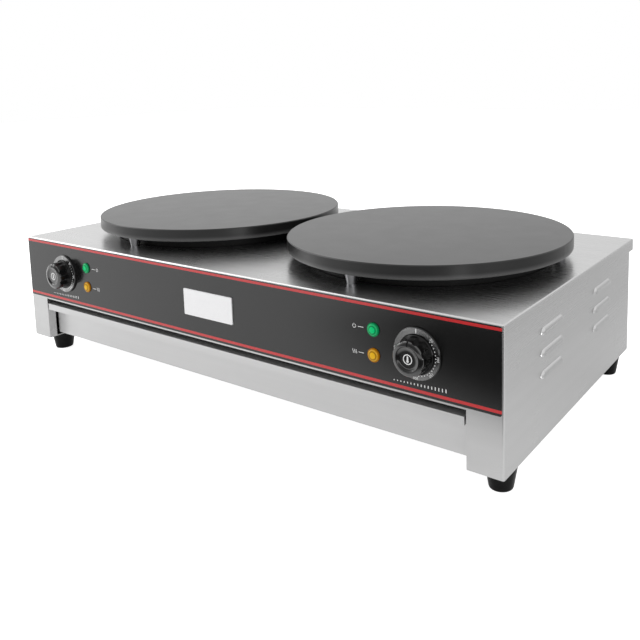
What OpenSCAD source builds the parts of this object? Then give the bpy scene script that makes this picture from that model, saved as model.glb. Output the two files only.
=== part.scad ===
// Electric crepe maker with two round griddle plates on one bent-sheet housing, a control panel
// across the front and a full-width drawer under it. Millimetres, +Z up. The front looks along -Y,
// the floor is z = 0, and the origin is the centre of the footprint of the whole appliance.

/* [Housing] */
// Width over the side sheets
body_w = 860; // [848:2:960]
// Depth of the deck, from the front sheet to its rear edge
deck_d = 458; // [450:1:520]
// Height of the deck above the floor
deck_z = 197; // [190:1:230]
// Thickness of the housing sheet
sheet_t = 1.2; // [0.8:0.1:1.5]
// Outside radius of the bends in the housing sheet
bend_r = 2.4; // [2:0.1:4]
// How far the deck reaches back past the side sheets
overhang = 19; // [10:1:30]
// Height of the skirt along the rear edge of the deck
skirt_h = 17; // [10:1:25]
// Width of the front legs
leg_w = 43.5; // [41:0.5:60]
// Depth of the return along the inner edge of each leg
leg_return = 12.5; // [8:0.5:15]
// Height of the lower edge of the control strip above the floor
strip_z = 97.3; // [94:0.1:104]
// Depth of the flange under the control strip
strip_flange = 14; // [12:0.5:20]
// Width of the flanges down the rear edges of the side sheets
rear_flange = 16; // [12:1:20]

/* [Side louvres] */
// Length of one louvre along the side sheet
louvre_len = 67; // [50:1:80]
// Radius of the pressed bulge of a louvre
louvre_r = 9; // [8:0.5:11]
// How far a louvre stands out of the side sheet
louvre_out = 4; // [3:0.25:5]
// Height of the lowest louvre's mouth above the floor
louvre_z = 106; // [102:1:112]
// Vertical pitch of the louvres
louvre_pitch = 25.6; // [20:0.1:28]
// Number of louvres in one column
louvre_rows = 3; // [1:1:3]
// Distance between the middles of the two columns
louvre_cols = 180; // [160:1:240]

/* [Feet] */
// Height of a foot under the housing
foot_h = 30; // [24:0.5:34]
// Diameter of a foot where it meets the housing
foot_top_d = 38; // [34:0.5:40]
// Diameter of a foot at the floor
foot_low_d = 28; // [26:0.5:32]
// Distance of a foot's axis from the side sheet
foot_in = 21; // [21:0.5:22]
// Distance of a front foot's axis from the front
foot_front = 38; // [34:1:60]
// Distance of a rear foot's axis from the rear edge of the side sheets
foot_rear = 32; // [26:1:60]
// Diameter of the foot screws
foot_screw_d = 6; // [5:0.5:6]

/* [Griddle plates] */
// Diameter of a griddle plate
plate_d = 400; // [380:1:402]
// Thickness of a griddle plate
plate_t = 18.5; // [14:0.5:25]
// Space between the two plates
plate_gap = 14.4; // [8:0.4:24]
// Space between the deck and the underside of the plates
plate_lift = 14.5; // [12:0.5:30]
// Size of the chamfer round the top of a plate
plate_chamfer = 1.2; // [0.6:0.1:2]
// Radius round the lower edge of a plate
plate_edge_r = 2.5; // [1:0.1:4]
// Distance of a standoff's axis from the edge of the deck's opening
stand_out = 10.5; // [9.5:0.1:12]
// Upper diameter of a standoff
stand_top_d = 17.5; // [14:0.5:20]
// Lower diameter of a standoff
stand_low_d = 13; // [10:0.5:16]
// Diameter of the bolts that hold the plates
plate_bolt_d = 6; // [5:0.5:6]
// Depth of the blind holes in the underside of a plate
plate_hole_depth = 10; // [8:0.5:12]

/* [Heating] */
// Diameter of the heating tube
tube_d = 8.5; // [6:0.25:9]
// Radius of the outer loop of the heating tube
loop_out_r = 150; // [146:0.5:152]
// Distance between neighbouring loops of the heating tube
loop_pitch = 40; // [36:0.5:42]
// Half of the angle left open between the ends of the loops
loop_open = 15; // [14:0.5:18]
// Outside radius of the heat pan
pan_r = 172; // [166:0.5:173]
// Depth of the heat pan below the plate
pan_depth = 43; // [38:0.5:48]
// Thickness of the heat pan's sheet
pan_t = 0.8; // [0.5:0.1:1.2]
// Thickness of the insulation in the pan
wool_t = 20; // [12:1:22]
// Thickness of the clamp that presses the tube to the plate
clamp_t = 3; // [2:0.5:4]
// Diameter of the centre stud
stud_d = 10; // [8:0.5:10]
// Diameter of the temperature sensor
sensor_d = 6; // [5:0.25:6.5]
// Length of the temperature sensor
sensor_len = 80; // [60:1:90]
// Space between the sensor and the middle loop of the heating tube
sensor_gap = 3.75; // [2:0.25:5]
// Diameter of the sensor's capillary
capillary_d = 2; // [1.5:0.1:2.5]

/* [Controls] */
// Distance of a knob's axis from the middle of its plate, sideways
knob_side = 120.8; // [116:0.4:124]
// Height of the knobs' axes above the floor
knob_z = 147.5; // [142:0.5:152]
// Diameter of a knob's grip
knob_d = 41; // [38:0.5:42]
// How far a knob's face stands out of the front sheet
knob_out = 22.8; // [20:0.2:28]
// Number of finger flutes round a knob
flutes = 8; // [6:1:12]
// Diameter of the spindle under a knob
spindle_d = 6; // [5:0.25:6.5]
// Outside diameter of a dial ring
ring_d = 60; // [56:0.5:62]
// Inside diameter of a dial ring
ring_bore_d = 46; // [45.5:0.25:48]
// How far a dial ring stands out of the overlay
ring_t = 3; // [1.5:0.25:4]
// Distance of the pilot lamps from the knob's axis, sideways
lamp_side = 58; // [50:1:64]
// Height of the upper lamps above the floor
lamp_z = 164; // [162:0.5:168]
// Drop from the upper to the lower lamps
lamp_drop = 30; // [26:0.5:34]
// Diameter of a lamp lens
lamp_d = 16.6; // [15:0.2:18]
// Thickness of the control overlay
overlay_t = 0.8; // [0.5:0.1:1.2]
// Bare sheet left round the overlay, at its ends and along its edges
overlay_rim = 2.6; // [2.5:0.1:4]
// Width of the badge plate
badge_w = 92; // [60:1:110]
// Height of the badge plate
badge_h = 36.4; // [24:0.2:42]
// Thickness of the badge plate
badge_t = 1.6; // [0.8:0.1:2.5]

/* [Drawer] */
// Clearance between the drawer front and each leg
drawer_side_gap = 2.5; // [1:0.1:4]
// Height of the top of the drawer's lip above the floor
lip_z = 89; // [88.5:0.1:90]
// Height of the face of the drawer's lip
lip_h = 10; // [8:0.5:12]
// Distance of the drawer's face behind its lip
face_in = 15.5; // [14:0.5:18]
// Height of the lower edge of the drawer above the floor
drawer_z = 36.5; // [36:0.1:40]
// Depth of the drawer's tray
tray_d = 390; // [385:1:395]
// Height of the rim of the drawer's tray above the floor
tray_rim_z = 87.6; // [84:0.1:87.8]
// Thickness of the drawer's sheet
drawer_t = 1; // [0.8:0.1:1.2]
// Travel of the drawer
drawer_travel = 330; // [250:1:340]

/* [Supply] */
// Distance of a cable gland from its side sheet
gland_in = 223; // [170:1:280]
// Height of the cable glands above the floor
gland_z = 130; // [124:1:160]
// Diameter of the bore of a cable gland
gland_bore_d = 11; // [8:0.5:13]
// Outside length of a cable gland
gland_out = 18; // [14:0.5:18.5]

/* [Hidden] */

// Smoothness of round surfaces
$fn = 64;

// Gap of a running fit, of a hole round a fastener and between pieces that only pass each other
run_gap = 0.06;
hole_gap = 0.3;
slide_gap = 0.3;
// Overlap that makes a cut pass clean through a face
cut = 1;

// Left and right
LEFT = -1;
RIGHT = 1;

// The footprint's centre is the origin, so the front sheet lies half the whole depth in front of it
front_y = knob_out - (knob_out + deck_d) / 2;
rear_y = front_y + deck_d;
side_rear_y = rear_y - overhang;
side_x = body_w / 2;
inner_x = side_x - sheet_t;
leg_x = side_x - leg_w;
deck_under_z = deck_z - sheet_t;
strip_inner_y = front_y + sheet_t;

// Plates stand over the middle of the deck
plate_r = plate_d / 2;
plate_x = plate_r + plate_gap / 2;
plate_y = front_y + deck_d / 2;
plate_z = deck_z + plate_lift;
pan_floor_z = plate_z - pan_depth;
pan_hole_r = pan_r + 2;
stand_r = pan_hole_r + stand_out;
stand_angles = [-90, 30, 150];

// Heating tube
tube_r = tube_d / 2;
loop_r = [for (i = [0:2]) loop_out_r - i * loop_pitch];
tube_z = plate_z - 0.2 - tube_r;
tube_bend_r = 12;
bend_swell = 0.08;
u_bend_r = loop_pitch / 2;
clamp_top_z = tube_z - tube_r - 0.1;
clamp_r = loop_r[0] + tube_r + 2;
clamp_hub_r = 30;
clamp_arm_w = 26;
nut_h = 8;
nut_flats_r = 9.8;
terminal_low_z = pan_floor_z - 18;
sensor_out = loop_r[1] + tube_r + sensor_d / 2 + sensor_gap;
sensor_y = -20;
capillary_bend = 8;
capillary_y = sensor_y - capillary_bend;
capillary_low_z = knob_z;
pin_r = 2.2;
pin_len = 14;

// Fixings
screw_head_r = 3.6;
screw_head_h = 2.1;
screw_r = 2;
floor_screw_in = 30.5;
floor_screw_pitch = (leg_x - floor_screw_in) / 2;
floor_screw_y = front_y + 7;
floor_z = strip_z + sheet_t;
floor_t = 1;
floor_turn_up = 12;
rear_screw_drop = [35, 72, 145];
floor_thread_out = 4;
rear_thread_out = 5;

// Feet
foot_recess_h = 12;
foot_head_h = 4;
foot_nut_h = 5;
foot_thread_out = 2;

// Controls
knob_x = plate_x + knob_side;
lamp_x = knob_x - lamp_side;
overlay_y = front_y - overlay_t;
overlay_low_z = strip_z + overlay_rim;
overlay_top_z = deck_z - bend_r + 0.6;
collar_r = 5.4;
thermostat_w = 34;
thermostat_h = 38;
thermostat_d = 36;
thermostat_screw_x = 12;
thermostat_back_y = strip_inner_y + thermostat_d;
collar_wall = 2;
spindle_flat = spindle_d / 2 - 0.9;
knob_base_y = overlay_y - 0.8;
knob_face_y = front_y - knob_out;
lamp_neck_r = 6;

// Drawer
drawer_half_w = leg_x - drawer_side_gap;
face_y = front_y + face_in;
tray_y = face_y + sheet_t;
tray_half_w = drawer_half_w - sheet_t;
tray_wall_z = drawer_z + drawer_t;
runner_in = 11.5;
runner_y = front_y + leg_return + runner_in;
runner_end_y = side_rear_y - sheet_t - 4;
runner_t = 1.2;
runner_x = leg_x;
ledge_w = 15;
guide_w = 12;
ear_out = 2.6;
stop_inner_x = tray_half_w + 0.8;
ear_y = runner_y + runner_t + slide_gap + drawer_travel;

// Rear
panel_y = side_rear_y - sheet_t;
gland_x = side_x - gland_in;
gland_wall = 3.6;
gland_thread_r = gland_bore_d / 2 + gland_wall;
gland_nut_h = 4;

// A shape made for the right-hand side, on the side asked for
module handed(side) {
    mirror([side == LEFT ? 1 : 0, 0, 0]) children();
}

// A solid that stands on the axis of a plate, on the side asked for
module at_plate(side) {
    handed(side) translate([plate_x, plate_y, 0]) children();
}

// A shape turned so that what stood along +Z now points to the front
module facing_front(x, y, z) {
    translate([x, y, z]) rotate([90, 0, 0]) children();
}

// Drill for a round hole through a sheet whose lower face is at z = 0
module drill(r, t = sheet_t) {
    translate([0, 0, -cut]) cylinder(r = r, h = t + 2 * cut);
}

// The same for a hole that runs from front to back, through a sheet whose front face is at y
module drill_y(x, y, z, r, t = sheet_t) {
    translate([x, y, z]) rotate([-90, 0, 0]) drill(r, t);
}

// Rectangle centred in X on the line y = 0, with its two upper corners rounded
module arch(w, h, r) {
    difference() {
        translate([-w / 2, 0]) square([w, h]);
        for (s = [-1, 1]) translate([s * (w / 2 - r), h - r]) difference() {
            translate([s > 0 ? 0 : -r - cut, 0]) square([r + cut, r + cut]);
            circle(r = r);
        }
    }
}

// Rectangle about the origin with four rounded corners
module plaque(w, h, r) {
    difference() {
        square([w, h], center = true);
        for (sx = [-1, 1], sy = [-1, 1]) translate([sx * (w / 2 - r), sy * (h / 2 - r)]) difference() {
            translate([sx > 0 ? 0 : -r - cut, sy > 0 ? 0 : -r - cut]) square(r + cut);
            circle(r = r);
        }
    }
}

// ---- Housing ----

// Block with bent edges: rounded over the sides, over the front edge and down the front corners
module bent_block(inset, low_z, back_y) {
    r = bend_r - inset;
    w = body_w - 2 * inset;
    h = deck_z - inset - low_z;
    d = back_y - front_y - inset;
    intersection() {
        translate([0, back_y, low_z]) rotate([90, 0, 0]) linear_extrude(d) arch(w, h, r);
        translate([0, back_y, low_z]) linear_extrude(h) mirror([0, 1, 0]) arch(w, d, r);
        translate([-w / 2, back_y, low_z]) rotate([90, 0, 90]) linear_extrude(w)
            translate([-d, 0]) side_outline(d, h, r);
    }
}

// Side view of the bent block: square at the back, rounded at the upper front corner
module side_outline(d, h, r) {
    difference() {
        square([d, h]);
        translate([r, h - r]) difference() {
            translate([-r - cut, 0]) square([r + cut, r + cut]);
            circle(r = r);
        }
    }
}

// Sheets of the shell, before anything is cut or pressed in them
module shell_sheets() {
    difference() {
        bent_block(0, foot_h, rear_y);
        bent_block(sheet_t, foot_h - cut, rear_y - sheet_t);
        // Behind the side sheets only the deck and its skirt go on
        translate([-side_x - cut, side_rear_y, foot_h - cut])
            cube([body_w + 2 * cut, overhang + cut, deck_z - skirt_h - foot_h + cut]);
        // Bay of the drawer, between the legs
        translate([-leg_x, front_y - cut, foot_h - cut])
            cube([2 * leg_x, sheet_t + 2 * cut, strip_z - foot_h + cut]);
    }
}

// Flange under the control strip
module strip_flange() {
    translate([-leg_x, front_y + sheet_t / 2, strip_z])
        cube([2 * leg_x, strip_flange - sheet_t / 2, sheet_t]);
}

// What carries a foot and the drawer on one side: bottom flange, leg return and rear flange
module side_flanges() {
    translate([leg_x, front_y + sheet_t / 2, foot_h])
        cube([leg_w - sheet_t / 2, side_rear_y - front_y - sheet_t / 2, sheet_t]);
    translate([leg_x, front_y + sheet_t / 2, foot_h])
        cube([sheet_t, leg_return - sheet_t / 2, floor_z - foot_h]);
    translate([side_x - sheet_t / 2 - rear_flange, panel_y - sheet_t, foot_h])
        cube([rear_flange, sheet_t, deck_z - skirt_h - foot_h]);
}

// Bulge of one louvre, with its mouth at z = 0 and its middle at y = 0, on the right-hand side sheet
module louvre_bulge(r, low) {
    // The ends are spheres, which cut the side sheet in a circle smaller than the bulge
    half = louvre_len / 2 - sqrt(pow(louvre_r, 2) - pow(louvre_r - louvre_out, 2));
    centre_x = side_x + louvre_out - louvre_r;
    intersection() {
        translate([centre_x, 0, 0]) {
            translate([0, half, 0]) rotate([90, 0, 0]) cylinder(r = r, h = 2 * half);
            for (s = [-1, 1]) translate([0, s * half, 0]) sphere(r = r);
        }
        translate([centre_x - 2 * r, -louvre_len, low]) cube([4 * r, 2 * louvre_len, 2 * r]);
    }
}

// Places of the louvres on one side
module each_louvre() {
    middle_y = (front_y + side_rear_y) / 2;
    for (c = [-1, 1], i = [0:louvre_rows - 1])
        translate([0, middle_y + c * louvre_cols / 2, louvre_z + i * louvre_pitch]) children();
}

module each_foot() {
    for (s = [LEFT, RIGHT], y = [front_y + foot_front, side_rear_y - foot_rear])
        translate([s * (side_x - foot_in), y, 0]) children();
}

module each_floor_screw() {
    for (i = [-2:2]) translate([i * floor_screw_pitch, floor_screw_y, 0]) children();
}

module each_rear_screw() {
    for (s = [LEFT, RIGHT], drop = rear_screw_drop)
        translate([s * (side_x - sheet_t - rear_flange / 2), side_rear_y, deck_z - drop]) children();
}

module each_lamp() {
    for (s = [LEFT, RIGHT], z = [lamp_z, lamp_z - lamp_drop]) facing_front(s * lamp_x, front_y, z) children();
}

module each_stand() {
    for (a = stand_angles) rotate([0, 0, a]) translate([stand_r, 0, 0]) children();
}

// Holes for the thermostats' collars and screws and for the lamps, through a sheet with its front at y
module control_holes(y, t) {
    for (s = [LEFT, RIGHT]) {
        drill_y(s * knob_x, y, knob_z, collar_r + hole_gap, t);
        for (e = [-1, 1]) drill_y(s * knob_x + e * thermostat_screw_x, y, knob_z, screw_r + hole_gap, t);
        for (z = [lamp_z, lamp_z - lamp_drop]) drill_y(s * lamp_x, y, z, lamp_neck_r + hole_gap, t);
    }
}

module housing_shell() color("gainsboro") difference() {
    union() {
        shell_sheets();
        strip_flange();
        for (s = [LEFT, RIGHT]) handed(s) {
            side_flanges();
            difference() {
                each_louvre() louvre_bulge(louvre_r, 0);
                translate([side_x - 100, front_y, foot_h]) cube([100 - sheet_t / 2, deck_d, deck_z]);
            }
        }
    }
    for (s = [LEFT, RIGHT]) handed(s) each_louvre() louvre_bulge(louvre_r - sheet_t, -0.01);
    // Openings in the deck under each plate
    for (s = [LEFT, RIGHT]) at_plate(s) translate([0, 0, deck_under_z]) {
        drill(pan_hole_r, $fn = 120);
        each_stand() drill(plate_bolt_d / 2 + hole_gap);
    }
    control_holes(front_y, sheet_t);
    // Screw holes
    each_foot() translate([0, 0, foot_h]) drill(foot_screw_d / 2 + hole_gap);
    each_floor_screw() translate([0, 0, strip_z]) drill(screw_r + hole_gap);
    each_rear_screw() rotate([90, 0, 0]) drill(screw_r + hole_gap, 2 * sheet_t);
}

module rear_panel() color("silver") difference() {
    edge_gap = 0.5;
    low_z = foot_h + sheet_t + edge_gap;
    translate([-inner_x + edge_gap, panel_y, low_z])
        cube([2 * (inner_x - edge_gap), sheet_t, deck_under_z - edge_gap - low_z]);
    each_rear_screw() rotate([90, 0, 0]) drill(screw_r + hole_gap);
    for (s = [LEFT, RIGHT]) drill_y(s * gland_x, panel_y, gland_z, gland_thread_r + 0.2);
}

// Floor of the electrical compartment, a shallow tray over the drawer
module compartment_floor() color("lightgray") {
    floor_w = 2 * inner_x;
    floor_front = strip_inner_y + bend_r - sheet_t;
    floor_d = panel_y - sheet_t - floor_front;
    difference() {
        translate([-floor_w / 2, floor_front, floor_z]) cube([floor_w, floor_d, floor_turn_up]);
        translate([-floor_w / 2 + floor_t, floor_front - cut, floor_z + floor_t])
            cube([floor_w - 2 * floor_t, floor_d - floor_t + cut, floor_turn_up]);
        each_floor_screw() translate([0, 0, floor_z]) drill(screw_r + hole_gap, floor_t);
    }
}

// ---- Front ----

module control_overlay() color([0.08, 0.08, 0.08]) {
    overlay_h = overlay_top_z - overlay_low_z;
    difference() {
        facing_front(0, front_y, (overlay_top_z + overlay_low_z) / 2)
            linear_extrude(overlay_t) plaque(body_w - 2 * overlay_rim, overlay_h, 2);
        control_holes(overlay_y, overlay_t);
    }
}

module badge_plate() color("whitesmoke") {
    facing_front(0, overlay_y, knob_z + 0.2) linear_extrude(badge_t) plaque(badge_w, badge_h, 1.5);
}

// Fixed ring round a knob, bevelled on its outer edge
module dial_ring(side) {
    bevel = ring_t / 3;
    facing_front(side * knob_x, overlay_y, knob_z) rotate_extrude($fn = 96) polygon([
        [ring_bore_d / 2, 0], [ring_d / 2, 0], [ring_d / 2, ring_t - bevel],
        [ring_d / 2 - bevel, ring_t], [ring_bore_d / 2, ring_t]
    ]);
}

module dial_ring_left() color("silver") dial_ring(LEFT);
module dial_ring_right() color("silver") dial_ring(RIGHT);

// Lens of a pilot lamp: a flange on the overlay, a low dome and a neck through the sheet
module lamp_lens(side, z) {
    r = lamp_d / 2;
    dome_h = 3.6;
    facing_front(side * lamp_x, overlay_y, z) rotate_extrude() polygon(concat(
        [[0, -overlay_t], [lamp_neck_r, -overlay_t], [lamp_neck_r, 0], [r, 0], [r, 1.2], [r - 1, 1.6]],
        [for (a = [0:15:90]) [(r - 1.4) * cos(a), 1.6 + (dome_h - 1.6) * sin(a)]]
    ));
}

module power_lamp_left() color("limegreen") lamp_lens(LEFT, lamp_z);
module power_lamp_right() color("limegreen") lamp_lens(RIGHT, lamp_z);
module heat_lamp_left() color("orange") lamp_lens(LEFT, lamp_z - lamp_drop);
module heat_lamp_right() color("orange") lamp_lens(RIGHT, lamp_z - lamp_drop);

// Bodies of the pilot lamps behind the front sheet, each with two terminals
module lamp_holders() color("dimgray") each_lamp() {
    body_len = 26;
    nut_t = 3;
    tab = [0.8, 4, 8];
    tab_x = 2.5;
    rotate([180, 0, 0]) {
        cylinder(r = lamp_neck_r, h = body_len);
        translate([0, 0, sheet_t]) cylinder(r = lamp_neck_r + 2, h = nut_t);
        for (s = [-1, 1]) translate([s * tab_x - tab[0] / 2, -tab[1] / 2, body_len - cut])
            cube([tab[0], tab[1], tab[2] + cut]);
    }
}

// ---- Knobs ----

// Moulded knob: a skirt, a fluted grip, a domed face with a dish and a pointer notch, hollow behind
module knob(side) {
    r = knob_d / 2;
    h = knob_base_y - knob_face_y;
    skirt_r = r + 1.2;
    skirt_t = 2.5;
    edge = 1.6;
    face_drop = 1.2;
    face_r = 14;
    dish_r = 12.5;
    dish_h = 1.6;
    boss_r = 6;
    wall = 4.2;
    cap_t = 6;
    bore_end = 5;
    draft = 0.6;
    flute_r = 10;
    flute_h = 1.8;
    notch_w = 1.6;
    notch_len = 5.6;
    notch_h = 2.2;
    facing_front(side * knob_x, knob_base_y, knob_z) difference() {
        rotate_extrude($fn = 96) polygon([
            [0, 0], [skirt_r, 0], [skirt_r, skirt_t], [r, skirt_t + 0.8], [r - draft, h - face_drop - edge],
            [r - draft - edge * 0.3, h - face_drop - edge * 0.3], [r - draft - edge, h - face_drop], [face_r, h],
            [dish_r, h], [dish_r - 1.2, h - dish_h], [0, h - dish_h]
        ]);
        // Finger flutes
        for (i = [0:flutes - 1]) rotate([0, 0, 90 + 180 / flutes + i * 360 / flutes])
            translate([r + flute_r - flute_h, 0, 2 * skirt_t]) cylinder(r = flute_r, h = h);
        // Pointer notch at the top of the face
        translate([-notch_w / 2, r - notch_len, h - notch_h]) cube([notch_w, notch_len + 2.4, notch_h + 1.8]);
        // Hollow behind, left clear round the spindle's boss
        difference() {
            translate([0, 0, -cut]) cylinder(r = r - wall, h = h - cap_t + cut);
            translate([0, 0, -2 * cut]) cylinder(r = boss_r, h = h);
        }
        // Bore with a flat on one side
        difference() {
            translate([0, 0, -cut]) cylinder(r = spindle_d / 2 + run_gap, h = h - bore_end + cut);
            translate([-spindle_d, spindle_flat + run_gap, -2 * cut]) cube([2 * spindle_d, spindle_d, h]);
        }
    }
}

module knob_left() color([0.1, 0.1, 0.1]) knob(LEFT);
module knob_right() color([0.1, 0.1, 0.1]) knob(RIGHT);

// Spindle of a thermostat, which the knob sits on: it runs in the thermostat's collar, and a flange
// behind the collar's wall keeps it from being pulled out
module spindle(side) {
    tip_y = knob_face_y + 5 + slide_gap;
    inner_y = strip_inner_y + 14;
    flange_t = 2;
    facing_front(side * knob_x, inner_y, knob_z) difference() {
        union() {
            cylinder(r = spindle_d / 2, h = inner_y - tip_y);
            translate([0, 0, inner_y - strip_inner_y - collar_wall - slide_gap - flange_t])
                cylinder(r = spindle_d / 2 + 1.5, h = flange_t);
        }
        // Flat for the knob
        translate([-spindle_d, spindle_flat, inner_y - knob_base_y])
            cube([2 * spindle_d, spindle_d, 2 * knob_out]);
    }
}

module spindle_left() color("goldenrod") spindle(LEFT);
module spindle_right() color("goldenrod") spindle(RIGHT);

// ---- Heating ----

module griddle_plate(side) {
    c = plate_chamfer;
    e = plate_edge_r;
    at_plate(side) difference() {
        translate([0, 0, plate_z]) rotate_extrude($fn = 180) polygon(concat(
            [[0, 0]], [for (a = [-90:15:0]) [plate_r - e + e * cos(a), e + e * sin(a)]],
            [[plate_r, plate_t - c], [plate_r - c, plate_t], [0, plate_t]]
        ));
        each_stand() translate([0, 0, plate_z - cut])
            cylinder(r = plate_bolt_d / 2 + run_gap, h = plate_hole_depth + cut);
        translate([0, 0, plate_z - cut]) cylinder(r = stud_d / 2 + run_gap, h = plate_hole_depth + cut);
    }
}

module griddle_plate_left() color([0.25, 0.25, 0.25]) griddle_plate(LEFT);
module griddle_plate_right() color([0.25, 0.25, 0.25]) griddle_plate(RIGHT);

// Three tapered standoffs between the deck and a plate, each with a hole for its bolt
module standoffs(side) {
    at_plate(side) each_stand() rotate_extrude() polygon([
        [plate_bolt_d / 2 + hole_gap, deck_z], [stand_low_d / 2, deck_z], [stand_low_d / 2, deck_z + 1.2],
        [stand_top_d / 2, plate_z - 1.5], [stand_top_d / 2, plate_z], [plate_bolt_d / 2 + hole_gap, plate_z]
    ]);
}

module standoffs_left() color("silver") standoffs(LEFT);
module standoffs_right() color("silver") standoffs(RIGHT);

// Bolts from under the deck, through the standoffs and into the plates
module plate_bolts() color("silver") for (s = [LEFT, RIGHT]) at_plate(s) each_stand() {
    head_h = 4;
    translate([0, 0, deck_under_z - head_h]) cylinder(r = plate_bolt_d, h = head_h, $fn = 6);
    translate([0, 0, deck_under_z - head_h / 2])
        cylinder(r = plate_bolt_d / 2, h = plate_z + plate_hole_depth - 1 - deck_under_z + head_h / 2);
}

// Part of a ring of round rod, in the plane z = 0, between two angles
module rod_arc(ring_r, rod_r, from, to) {
    rotate([0, 0, from]) rotate_extrude(angle = to - from) translate([ring_r, 0]) circle(r = rod_r, $fn = 24);
}

// A bend between two straight or gently curved stretches: a little thicker, and lapping over both
module rod_bend(ring_r, rod_r, from, to) {
    lap = 2;
    rod_arc(ring_r, rod_r + bend_swell, from - lap, to + lap);
}

// Half turn that joins two neighbouring loops at an angle, bulging the way dir turns
module tube_half_turn(r, at, dir) {
    rotate([0, 0, at]) translate([r, 0, 0]) mirror([0, dir < 0 ? 1 : 0, 0])
        rod_bend(u_bend_r, tube_r, 0, 180);
}

// End of the tube: a quarter turn down, a straight cold end and a terminal pin
module tube_end(r, at, dir) {
    rotate([0, 0, at]) translate([r, 0, 0]) mirror([0, dir < 0 ? 1 : 0, 0]) {
        translate([0, 0, -tube_bend_r]) rotate([90, 0, 90]) rod_bend(tube_bend_r, tube_r, 0, 90);
        translate([0, tube_bend_r, terminal_low_z - tube_z])
            cylinder(r = tube_r, h = tube_z - tube_bend_r - terminal_low_z, $fn = 24);
        translate([0, tube_bend_r, terminal_low_z - tube_z - pin_len])
            cylinder(r = pin_r, h = pin_len + 2, $fn = 24);
    }
}

// One tube in three loops that turn back on each other, with both ends going down through the pan
module heating_element(side) {
    a = 180 + loop_open;
    b = 540 - loop_open;
    at_plate(side) translate([0, 0, tube_z]) {
        rod_arc(loop_r[0], tube_r, a, b, $fn = 120);
        tube_half_turn((loop_r[0] + loop_r[1]) / 2, b, 1);
        rod_arc(loop_r[1], tube_r, a, b, $fn = 120);
        tube_half_turn((loop_r[1] + loop_r[2]) / 2, a, -1);
        rod_arc(loop_r[2], tube_r, a, b - loop_open, $fn = 120);
        tube_end(loop_r[0], a, -1);
        tube_end(loop_r[2], b - loop_open, 1);
    }
}

module heating_element_left() color([0.3, 0.28, 0.26]) heating_element(LEFT);
module heating_element_right() color([0.3, 0.28, 0.26]) heating_element(RIGHT);

// Three-armed clamp on the centre stud
module element_clamp(side) {
    at_plate(side) translate([0, 0, clamp_top_z - clamp_t]) difference() {
        union() {
            cylinder(r = clamp_hub_r, h = clamp_t);
            for (t = [90, 210, 330]) rotate([0, 0, t]) {
                translate([0, -clamp_arm_w / 2, 0]) cube([clamp_r - clamp_arm_w / 2, clamp_arm_w, clamp_t]);
                translate([clamp_r - clamp_arm_w / 2, 0, 0]) cylinder(r = clamp_arm_w / 2, h = clamp_t);
            }
        }
        drill(stud_d / 2 + hole_gap, clamp_t);
    }
}

module element_clamp_left() color("darkgray") element_clamp(LEFT);
module element_clamp_right() color("darkgray") element_clamp(RIGHT);

// Studs in the middle of the plates, which carry the clamp and the heat pan
module centre_studs() color("silver") for (s = [LEFT, RIGHT]) at_plate(s) {
    low_z = pan_floor_z - nut_h - 3;
    translate([0, 0, low_z]) cylinder(r = stud_d / 2, h = plate_z + plate_hole_depth - 1 - low_z);
}

// Two nuts on each stud: one under the clamp, one under the pan
module centre_nuts() color("silver") for (s = [LEFT, RIGHT], z = [clamp_top_z - clamp_t, pan_floor_z])
    at_plate(s) translate([0, 0, z - nut_h]) difference() {
        cylinder(r = nut_flats_r, h = nut_h, $fn = 6);
        drill(stud_d / 2 + run_gap, nut_h);
    }

// Where the tube's two ends and the capillary pass through the wool and the pan
module pan_pass_holes(low_z, h) {
    for (e = [[loop_r[0], 180 + loop_open, -1], [loop_r[2], 540 - 2 * loop_open, 1]])
        rotate([0, 0, e[1]]) translate([e[0], e[2] * tube_bend_r, low_z]) cylinder(r = tube_r + 1.5, h = h);
    translate([sensor_out, capillary_y, low_z]) cylinder(r = capillary_d / 2 + 1, h = h);
}

// Disc of mineral wool in the bottom of the pan
module insulation(side) {
    at_plate(side) difference() {
        translate([0, 0, pan_floor_z + pan_t]) cylinder(r = pan_r - pan_t - 1, h = wool_t);
        translate([0, 0, pan_floor_z]) cylinder(r = nut_flats_r + 3, h = wool_t + 2 * cut);
        pan_pass_holes(pan_floor_z, wool_t + 2 * cut);
    }
}

module insulation_left() color("khaki") insulation(LEFT);
module insulation_right() color("khaki") insulation(RIGHT);

// Round pan that shields the tube, up against the underside of the plate
module heat_pan(side) {
    at_plate(side) difference() {
        translate([0, 0, pan_floor_z]) cylinder(r = pan_r, h = pan_depth, $fn = 120);
        translate([0, 0, pan_floor_z + pan_t]) cylinder(r = pan_r - pan_t, h = pan_depth + cut, $fn = 120);
        translate([0, 0, pan_floor_z]) drill(stud_d / 2 + hole_gap, pan_t);
        pan_pass_holes(pan_floor_z - cut, 3 * cut);
    }
}

module heat_pan_left() color("darkgray") heat_pan(LEFT);
module heat_pan_right() color("darkgray") heat_pan(RIGHT);

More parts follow.
